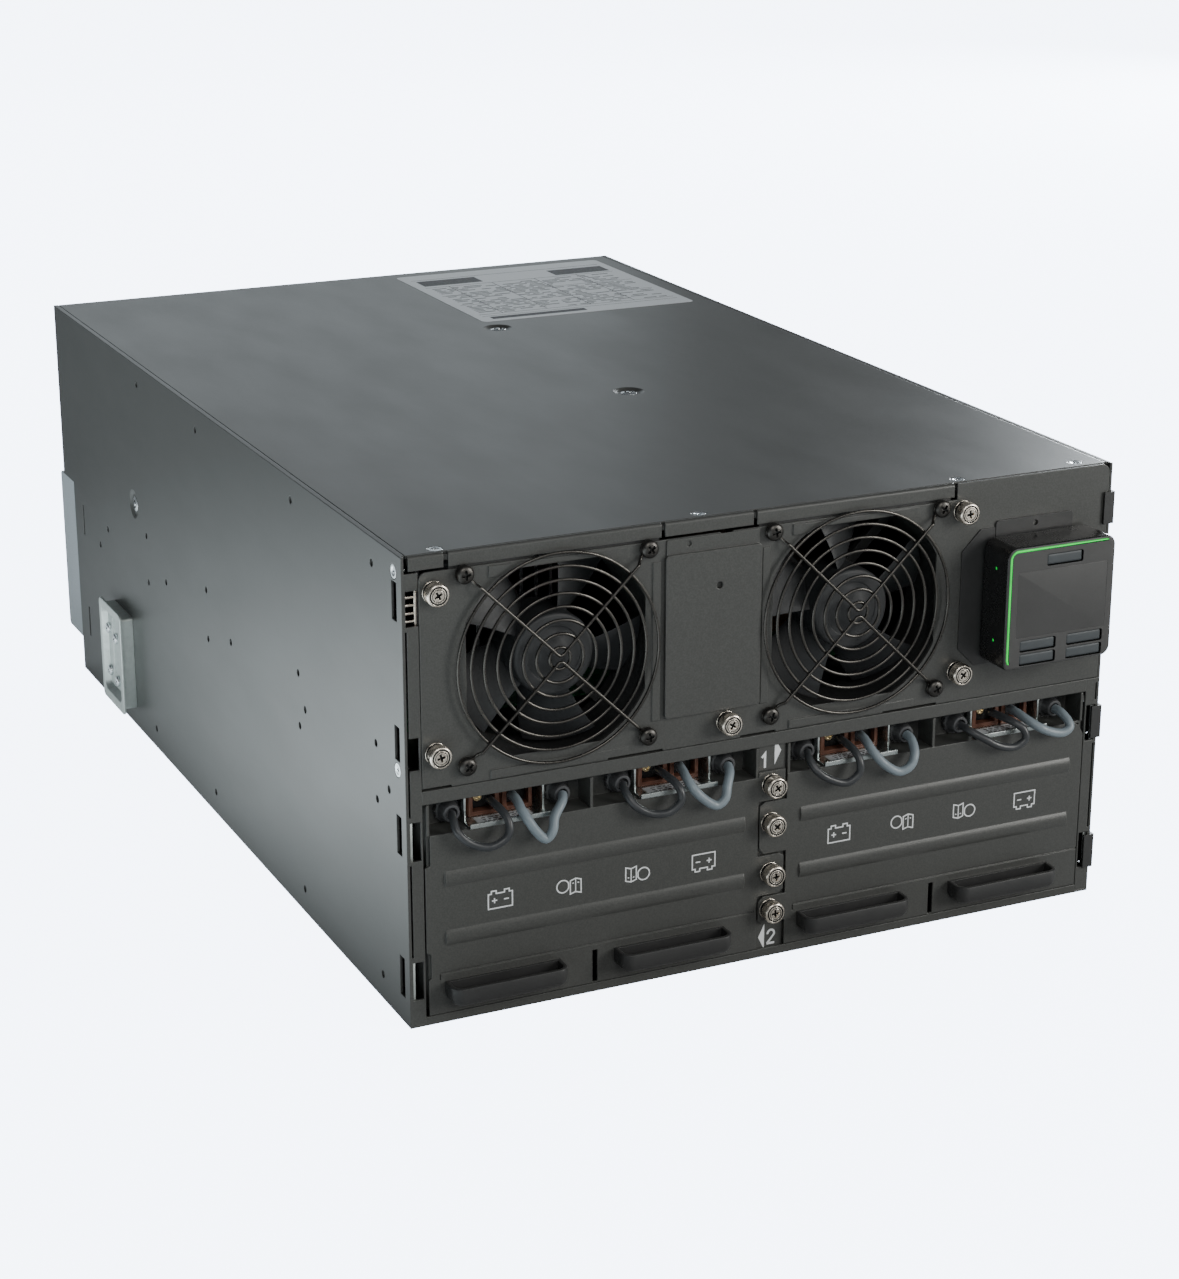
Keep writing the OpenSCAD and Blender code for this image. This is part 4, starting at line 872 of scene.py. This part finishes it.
def make_display():
    """The head's shell, blank pane, rubber keys and green light guide."""
    x0, z0, x1, z1 = DISPLAY
    face = DISPLAY_FACE
    bm = bmesh.new()
    loft(bm, [
        display_ring(1.6, face + 2.6), display_ring(1.6, -3.1), display_ring(1.4, -3), display_ring(0.2, -3),
        display_ring(0, -3.2), display_ring(0, face + 1.5), display_ring(0.12, face + 0.9),
        display_ring(0.45, face + 0.4), display_ring(1.0, face + 0.08), display_ring(1.6, face),
    ])
    bm = carve(bm, strip_cutter(light_path(), 0.8, face - 1, face + 1.5))
    for dx, dz in KEYS.values():
        cutter = bmesh.new()
        x, z, w, h = x0 + dx, z1 - dz, KEY_SIZE[0] / 2 + 0.45, KEY_SIZE[1] / 2 + 0.45
        slab(cutter, rounded(x - w, z - h, x + w, z + h, [1.3] * 4), face - 1, face + 4)
        bm = carve(bm, cutter)
    cutter = bmesh.new()
    slab(cutter, rounded(x0 + 7, z0 + 18, x1 - 5, z1 - 14.5, [1] * 4), face - 1, face + 0.9)
    bm = carve(bm, cutter)
    for dz in (15, 57):
        cutter = bmesh.new()
        turn = Matrix.Translation(point(x0 - 1, -15, z0 + dz)) @ Matrix.Rotation(math.radians(90), 4, "Y")
        lathe(cutter, [(0, 0), (1, 0), (1, 4), (0, 4)], turn @ Matrix.Scale(MM, 4), 20)
        bm = carve(bm, cutter)
    for start, end in ((x0 + 1.6, x0 + 7.5), (x1 - 7.5, x1 - 1.6)):
        pin = Matrix.Translation(point(start, -3.5, 224)) @ Matrix.Rotation(math.radians(90), 4, "Y")
        lathe(bm, [(0, 0), (1.2, 0), (1.2, end - start), (0, end - start)], pin @ Matrix.Scale(MM, 4), 24)
    # faces behind the front face take gloss black: real on the shell's sides, painted shade on the walls of the key
    # pockets and the light guide's trough
    for f in bm.faces:
        if f.calc_center_median().y > FRONT + (face + 0.35) * MM:
            f.material_index = 1
    piece(
        "display_moulded_shell", bm, "display_head", "black_plastic", [looks["display_face"], gloss_black],
        ["display_shell"],
    )

    bm = bmesh.new()
    pane = rounded(x0 + 7.05, z0 + 18.05, x1 - 5.05, z1 - 14.55, [0.95] * 4)
    slab(bm, pane, face + 0.02, face + 0.9, 0.06)
    piece("display_pane", bm, "display_head", "display_face", None, ["display_window"])

    for name, (dx, dz) in KEYS.items():
        bm = bmesh.new()
        x, z, w, h = x0 + dx, z1 - dz, KEY_SIZE[0] / 2, KEY_SIZE[1] / 2
        rings = []
        for inset, y in ((0, face + 3.2), (0, face + 1.4), (0.15, face + 1.05), (0.5, face + 0.8), (1.2, face + 0.72)):
            radius = max(0.3, 1 - inset)
            outline = rounded(x - w + inset, z - h + inset, x + w - inset, z + h - inset, [radius] * 4)
            rings.append([point(a, y, b) for a, b in outline])
        loft(bm, rings)
        piece(f"{name}_rubber", bm, name, "key_rubber", None, [name])

    bm = bmesh.new()
    line = light_path()
    rings = []
    for half, y in ((0.68, face + 1.4), (0.68, face + 0.2), (0.55, face + 0.02), (0.25, face - 0.08)):
        left, right = [], []
        for i, (x, z) in enumerate(line):
            ax, az = line[max(0, i - 1)]
            bx, bz = line[min(len(line) - 1, i + 1)]
            size = math.hypot(bx - ax, bz - az)
            taper = 0.45 if i in (0, len(line) - 1) else 1
            nx, nz = -(bz - az) / size * half * taper, (bx - ax) / size * half * taper
            left.append(point(x + nx, y, z + nz))
            right.append(point(x - nx, y, z - nz))
        rings.append(left + right[::-1])
    loft(bm, rings)
    for dz in (15, 57):
        turn = Matrix.Translation(point(x0 + 0.15, -15, z0 + dz)) @ Matrix.Rotation(math.radians(90), 4, "Y")
        lathe(bm, [(0, 0), (0.6, 0.02), (0.93, 0.2), (0.93, 1.4), (0, 1.4)], turn @ Matrix.Scale(MM, 4), 20)
    piece("display_light_guide", bm, "display_head", "light_green", None, ["light_pipe"])


# ---------- battery modules ----------


def make_handles(side):
    """Two moulded grips, rounded at the front and below, hollow behind the lip."""
    bm = bmesh.new()
    for offset in (-55, 45):
        middle = SIDES[side] * MODULE_X + offset
        stamp_handle(bm, middle)
    piece(
        f"battery_{side}_moulded_handles", bm, f"battery_{side}", "black_plastic", None,
        [f"battery_{side}_handles"], 40,
    )


def handle_ring(middle, inset, z):
    """A grip's plan at one height: square at the plate, round at its two front corners."""
    front = -14 + inset
    half, radius = 34 - inset, max(1.0, 6.5 - inset)
    left = [(-half + radius - radius * math.cos(a), front + radius - radius * math.sin(a))
            for a in [math.radians(9 * i) for i in range(11)]]
    plan = [(-half, 0)] + left + [(-x, y) for x, y in left[::-1]] + [(half, 0)]
    return [point(middle + x, y, z) for x, y in plan]


def stamp_handle(bm, middle):
    """One grip as a single closed skin: outside, lip, then down into the pocket."""
    low, high, round_r = 12.5, 24.0, 5.5
    outlines = []
    for i in range(7):
        a = math.radians(15 * i)
        outlines.append(handle_ring(middle, round_r * (1 - math.sin(a)), low + round_r * (1 - math.cos(a))))
    outlines += [
        handle_ring(middle, 0, high - 0.5), handle_ring(middle, 0.15, high - 0.15),
        handle_ring(middle, 0.5, high),
    ]
    pocket = (
        (1.9, high), (2.25, high - 0.15), (2.4, high - 0.5), (2.8, low + 7), (4.2, low + 3.4), (6, low + 2.6),
    )
    for inset, z in pocket:
        ring_points = handle_ring(middle, inset, z)
        for p in ring_points:
            p.y = min(p.y, FRONT - 1.6 * MM)
        outlines.append(ring_points)
    loft(bm, outlines)


def make_glands(side):
    """Cable glands: a wide nut, a tapered nose with grip ribs and the threaded end."""
    profile = [
        (0, -24), (4.4, -24), *thread(5.0, -23.6, -16.2, 1.2), (5.0, -16), (6.4, -16), (6.8, -15.7), (6.8, -12.6),
        (6.4, -12.2), (5.9, -12), (5.7, -11.6), (5.2, -8.5), (4.75, -6.4), (4.5, -6.05), (3.3, -6.0),
        (3.0, -6.5), (3.0, -9), (0, -9),
    ]
    bm = bmesh.new()
    for middle in connectors(side):
        for offset in (-31, 33):
            lathe(bm, profile, facing(middle + offset, 0, 117), 40)
            for i in range(12):
                a = 2 * math.pi * i / 12
                x, z = middle + offset + 6.75 * math.cos(a), 117 + 6.75 * math.sin(a)
                block(bm, (x - 0.55, 12.6, z - 0.55), (x + 0.55, 15.7, z + 0.55), 0.2, 1)
    piece(
        f"battery_{side}_moulded_glands", bm, f"battery_{side}", "black_plastic", [gland_grey],
        [f"battery_{side}_glands"],
    )


BRASS = 2  # the pin's place in a connector's list of materials


def make_connectors(side):
    """Two-pole connectors: pocketed brown housings, near-black blocks at the pockets' floors painted as shade, and a
    brass pin head.
    """
    bm = bmesh.new()
    for middle in connectors(side):
        shell = bmesh.new()
        block(shell, (middle - 18.5, 13, 110.1), (middle + 18.5, 60, 125.8), 0.5)
        for x0, x1, z0, z1 in ((-16.2, -3.4, 112.6, 123.4), (3.4, 16.2, 112.6, 123.4), (-1, 1, 109, 127)):
            cutter = bmesh.new()
            deep = 20 if x1 - x0 > 3 else 16
            block(cutter, (middle + x0, 10, z0), (middle + x1, deep, z1), 0.4, 1)
            shell = carve(shell, cutter)
        stamp(bm, shell, Matrix.Identity(4))
        shell.free()
        # near-black blocks at the pocket floors: painted shade inside the pockets
        for pole in (-9.8, 9.8):
            block(bm, (middle + pole - 5.9, 17, 113.2), (middle + pole + 5.9, 20.5, 122.8), 0.5, 2, 1)
        pin = [(0, -19), (2.6, -19), (2.6, -13.6), (2.2, -13.2), (1.4, -13.2), (1.2, -13.9), (0, -13.9)]
        lathe(bm, [(*row, BRASS) for row in pin], facing(middle - 13.2, 0, 120.8), 24)
    piece(
        f"battery_{side}_moulded_connectors", bm, f"battery_{side}", "connector_brown",
        [looks["connector_brown"], recess_shade_black, brass], [f"battery_{side}_connectors"],
    )


def make_cradles(side):
    """Pressed cradles under the connectors: hemmed front lip, side walls and a small blank label."""
    bm = bmesh.new()
    label = bmesh.new()
    for middle in connectors(side):
        low, high, half = 109.0, 110.1, 23.3
        hem = [(-1.2, low + 0.4), (-0.8, low), (0.6, low), (0.6, high), (0.1, high + 0.5), (0.1, low + 2.6),
               (-0.25, low + 2.95), (-0.85, low + 2.95), (-1.2, low + 2.6)]
        loft(bm, [[point(x, y, z) for y, z in hem] for x in (middle - half, middle + half)])
        block(bm, (middle - half, 0.5, low), (middle + half, 62, high), 0.15, 1)
        for x in (middle - half, middle + half - 1.2):
            block(bm, (x, 8, high - 0.2), (x + 1.2, 62, 126), 0.3, 2)
        top = high + 0.06
        sticker = [(middle - 17, 2.2), (middle + 15, 2.2), (middle + 15, 11.4), (middle - 17, 11.4)]
        loft(label, [[point(x, y, z) for x, y in sticker] for z in (high, top)])
        for row in range(3):
            x = middle - 13
            while x < middle + 12:
                width = random.uniform(1.2, 3.4)
                y = 4.1 + row * 2.3
                dash = [(x, y), (min(x + width, middle + 13), y), (min(x + width, middle + 13), y + 1.0), (x, y + 1.0)]
                before = set(label.faces)
                loft(label, [[point(a, b, z) for a, b in dash] for z in (top, top + 0.02)])
                for face in set(label.faces) - before:
                    face.material_index = 1
                x += width + random.uniform(0.7, 1.6)
    piece(
        f"battery_{side}_pressed_cradles", bm, f"battery_{side}", "zinc_steel", None,
        [f"battery_{side}_connector_trays"],
    )
    piece(f"battery_{side}_cradle_labels", label, f"battery_{side}", None, [label_film, dark_ink])


# ---------- printed marks ----------

INK = 0.07  # how far print stands out of the paint


def stroke(bm, line, width, closed=False, y=0.0):
    """A printed line of even width through [x, z] places, standing out of the plate."""
    count = len(line)
    spans = range(count if closed else count - 1)
    left, right = [], []
    for i in range(count):
        before = line[(i - 1) % count] if closed or i else line[i]
        after = line[(i + 1) % count] if closed or i < count - 1 else line[i]
        here = line[i]
        d0 = Vector((here[0] - before[0], here[1] - before[1]))
        d1 = Vector((after[0] - here[0], after[1] - here[1]))
        d0 = d0.normalized() if d0.length else d1.normalized()
        d1 = d1.normalized() if d1.length else d0
        n0, n1 = Vector((-d0.y, d0.x)), Vector((-d1.y, d1.x))
        n = (n0 + n1).normalized()
        n *= width / 2 / max(0.35, n.dot(n1))
        left.append((here[0] + n.x, here[1] + n.y))
        right.append((here[0] - n.x, here[1] - n.y))
    rows = [
        [bm.verts.new(point(a, depth, b)) for a, b in side]
        for side, depth in ((left, y), (right, y), (left, y - INK), (right, y - INK))
    ]
    l0, r0, l1, r1 = rows
    for i in spans:
        j = (i + 1) % count
        bm.faces.new([l1[i], r1[i], r1[j], l1[j]])
        bm.faces.new([l0[i], l0[j], r0[j], r0[i]])
        bm.faces.new([l0[i], l1[i], l1[j], l0[j]])
        bm.faces.new([r0[i], r0[j], r1[j], r1[i]])
    if not closed:
        for i in (0, count - 1):
            bm.faces.new([l0[i], r0[i], r1[i], l1[i]])


def battery_icon(bm, cx, cz, flip):
    """An outlined battery with a plus and a minus."""
    place = lambda x, z: (cx + flip * x, cz + flip * z)
    case = [(-7, -4.5), (7, -4.5), (7, 4), (5.2, 4), (5.2, 5.6), (2.4, 5.6), (2.4, 4), (-2.4, 4), (-2.4, 5.6),
            (-5.2, 5.6), (-5.2, 4), (-7, 4)]
    stroke(bm, [place(x, z) for x, z in case], 0.75, True)
    stroke(bm, [place(-4.9, 0), place(-1.9, 0)], 0.75)
    stroke(bm, [place(-3.4, -1.5), place(-3.4, 1.5)], 0.75, y=-0.002)
    stroke(bm, [place(2.1, 0), place(4.9, 0)], 0.75)


def manual_icon(bm, cx, cz, flip):
    """A closed loop beside an open book."""
    place = lambda x, z: (cx + flip * x, cz + flip * z)
    loop = arc(-3.6, 0.6, 3.6, 20, 340, 22)
    stroke(bm, [place(x, z) for x, z in loop], 0.75, True)
    book = [(0.8, -4.6), (3.9, -3.6), (7.2, -4.6), (7.2, 3.2), (3.9, 4.2), (0.8, 3.2)]
    stroke(bm, [place(x, z) for x, z in book], 0.72, True)
    stroke(bm, [place(3.95, -3.6), place(3.95, 4.1)], 0.6, y=-0.002)
    stroke(bm, [place(2.0, 1.4), place(2.9, 1.7)], 0.6)
    stroke(bm, [place(5.1, 1.7), place(6.0, 1.4)], 0.6)


def make_marks():
    """White symbols on the battery fronts, and the bays' numbers and arrows on the centre post."""
    rows = {"left": (65.5, (-163.3, -123, -81.8, -41.3)), "right": (66.5, (44.4, 85.6, 127.1, 168.1))}
    for side, (z, places) in rows.items():
        bm = bmesh.new()
        battery_icon(bm, places[0], z, 1)
        manual_icon(bm, places[1], z, 1)
        manual_icon(bm, places[2], z, -1)
        battery_icon(bm, places[3], z, -1)
        piece(f"battery_{side}_symbols", bm, f"battery_{side}", None, [white_ink])
    bm = bmesh.new()
    post = 2
    for tip, base, z in (((7, 122.7), 3, 122.5), ((-5, 11.3), -1.2, 11.4)):
        slab(bm, [(base, z - 7.8), tip, (base, z + 7.8)] if tip[0] > base else [(base, z + 7.8), tip, (base, z - 7.8)],
             post - INK, post)
    stroke(bm, [(-5.0, 119.8), (-3.0, 122.0), (-3.0, 113.6)], 1.35, y=post)
    two = [(0.9, 12.3)] + arc(3.1, 12.6, 2.1, 170, -30, 10) + [(1.0, 7.0), (1.1, 6.6), (5.4, 6.6)]
    stroke(bm, two, 1.25, y=post)
    piece("centre_post_marks", bm, "chassis", None, [white_ink])


def make_rating_label():
    """The plate on top: a film with blank table lines and bars, no lettering."""
    film = bmesh.new()
    x0, x1, y0, y1 = 38, 201, 490, 657
    base, high = CASE_HEIGHT + 0.12, CASE_HEIGHT + 0.16  # the film's face, and the print's

    def patch(ax, ay, bx, by, low, high, material):
        before = set(film.faces)
        loft(film, [[point(x, y, z) for x, y in ((ax, ay), (bx, ay), (bx, by), (ax, by))] for z in (low, high)])
        for face in set(film.faces) - before:
            face.material_index = material

    outline = rounded(x0, y0, x1, y1, [4] * 4)
    loft(film, [[point(x, y, z) for x, y in outline] for z in (CASE_HEIGHT, base)])
    for y in (506, 512, 546, 580, 612, 640):
        patch(x0 + 6, y, x1 - 6, y + 0.5, base, high, 1)
    for x in (62, 96, 130, 164):
        patch(x, 512, x + 0.5, 612, base, high, 1)
    for ax, ay, bx, by in ((46, 618, 92, 636), (150, 616, 194, 634), (48, 496, 120, 503)):
        patch(ax, ay, bx, by, base, high, 1)
    for row in range(22):
        y = 515 + row * 4.3
        x = x0 + 9
        while x < x1 - 14:
            width = random.uniform(4, 15)
            if random.random() < 0.75:
                patch(x, y, min(x + width, x1 - 9), y + 1.5, base, high, 1)
            x += width + random.uniform(2, 6)
    piece("rating_label", film, "chassis", None, [label_film, dark_ink])


# ---------- inside ----------


def make_cells(side):
    """Sealed battery blocks with lids, vent strips and terminals."""
    bm = bmesh.new()
    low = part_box(f"battery_{side}_cells")[0]
    x0, y0, z0 = low.x / MM, (low.y - FRONT) / MM, low.z / MM
    cell_w, cell_l, cell_h, gap = 63.5, 151, 94, 0.5
    for ix in range(3):
        for iy in range(4):
            x, y = x0 + ix * (cell_w + gap), y0 + iy * (cell_l + gap)
            block(bm, (x, y, z0), (x + cell_w, y + cell_l, z0 + cell_h - 6), 1.2)
            block(bm, (x + 0.6, y + 0.6, z0 + cell_h - 6), (x + cell_w - 0.6, y + cell_l - 0.6, z0 + cell_h - 0.8), 1.0)
            block(bm, (x + 12, y + 26, z0 + cell_h - 0.9), (x + cell_w - 12, y + cell_l - 14, z0 + cell_h), 0.4)
            for tx, material in ((10, 1), (cell_w - 10, 2)):
                block(
                    bm, (x + tx - 5, y + 5, z0 + cell_h - 1), (x + tx + 5, y + 17, z0 + cell_h + 1.2),
                    0.4, 2, material,
                )
                block(bm, (x + tx - 3, y + 8, z0 + cell_h), (x + tx + 3, y + 14, z0 + cell_h + 5), 0.3, 2, 3)
    piece(
        f"battery_{side}_sealed_blocks", bm, f"battery_{side}", "cell_plastic",
        [looks["cell_plastic"], black_screw, terminal_red, looks["zinc_steel"]], [f"battery_{side}_cells"],
    )


# ---------- stage ----------


FLOOR_HALF = 60  # metres
BACKDROP_GLOW = 8.4  # brings the floor up to the pale grey that the camera should see


def make_stage():
    """A pale floor that throws light up on the left, and soft lamps."""
    bm = bmesh.new()
    bmesh.ops.create_grid(bm, x_segments=1, y_segments=1, size=FLOOR_HALF)
    mesh = bpy.data.meshes.new("floor")
    bm.to_mesh(mesh)
    bm.free()
    floor = bpy.data.objects.new("floor", mesh)
    bpy.context.collection.objects.link(floor)

    paper = Surface("floor")
    nodes, links = paper.tree.nodes, paper.tree.links
    diffuse = nodes.new("ShaderNodeBsdfDiffuse")
    diffuse.inputs["Color"].default_value = (0.5, 0.51, 0.52, 1)
    seen = paper.add("ShaderNodeLightPath").outputs["Is Camera Ray"]
    place = paper.add("ShaderNodeSeparateXYZ")
    paper.feed(place.inputs[0], paper.place)
    # the pool of light on the floor at the left, brightest beside the object's front
    pool = paper.math("SUBTRACT", 1.0, seen)
    for axis, low, high, start, end in (
        ("Y", -0.4, 0, 1.75, 3.9), ("Y", 0, 0.4, 1, 0.25), ("Y", 0.4, 0.8, 1, 0),
        ("X", -0.42, -0.18, 1, 0), ("X", -3.0, -1.2, 0, 1),
    ):
        pool = paper.math("MULTIPLY", pool, paper.span(place.outputs[axis], low, high, start, end))
    glow = nodes.new("ShaderNodeEmission")
    paper.feed(glow.inputs["Color"], paper.blend(seen, (0.87, 0.97, 1), (0.76, 0.84, 1)))
    paper.feed(glow.inputs["Strength"], paper.math("ADD", paper.math("MULTIPLY", seen, BACKDROP_GLOW), pool))
    both = nodes.new("ShaderNodeAddShader")
    links.new(diffuse.outputs[0], both.inputs[0])
    links.new(glow.outputs[0], both.inputs[1])
    output = next(node for node in nodes if node.bl_idname == "ShaderNodeOutputMaterial")
    links.new(both.outputs[0], output.inputs["Surface"])
    nodes.remove(paper.shader)
    mesh.materials.append(paper.material)

    world = bpy.data.worlds.new("studio")
    bpy.context.scene.world = world
    world.use_nodes = True
    world.node_tree.nodes["Background"].inputs["Color"].default_value = (0.9, 0.95, 1, 1)
    world.node_tree.nodes["Background"].inputs["Strength"].default_value = 0.12

    # name, place, aim, size in metres, watts, colour
    lamps = [
        ("key", (-0.3, -3.0, 1.9), (0, -0.3, 0.12), (1.5, 1.0), 27, (1, 0.99, 0.95)),
        ("fill", (1.9, -2.0, 0.9), (0.1, -0.3, 0.15), (1.0, 1.2), 51, (1, 0.99, 0.95)),
        ("back_left", (0.4, 3.2, 1.0), (0, 0.3, 0.26), (2.4, 1.2), 8, (0.86, 0.95, 1)),
        ("back_right", (2.9, 2.4, 1.0), (0.2, 0, 0.26), (0.8, 1.0), 150, (0.9, 0.96, 1)),
    ]
    for name, place, aim, size, watts, colour in lamps:
        data = bpy.data.lights.new(name, "AREA")
        data.shape = "RECTANGLE"
        data.size, data.size_y = size
        data.energy = watts
        data.color = colour
        lamp = bpy.data.objects.new(name, data)
        lamp.location = place
        lamp.rotation_mode = "QUATERNION"
        lamp.rotation_quaternion = (Vector(aim) - Vector(place)).to_track_quat("-Z", "Y")
        lamp.visible_camera = False
        bpy.context.collection.objects.link(lamp)


make_thumb_screws()
make_guard_screws()
make_case_screws()
make_brackets()
make_contact_strips()
make_guards()
make_rotors()
make_display()
for side in SIDES:
    make_handles(side)
    make_glands(side)
    make_connectors(side)
    make_cradles(side)
    make_cells(side)
make_marks()
make_rating_label()
make_stage()
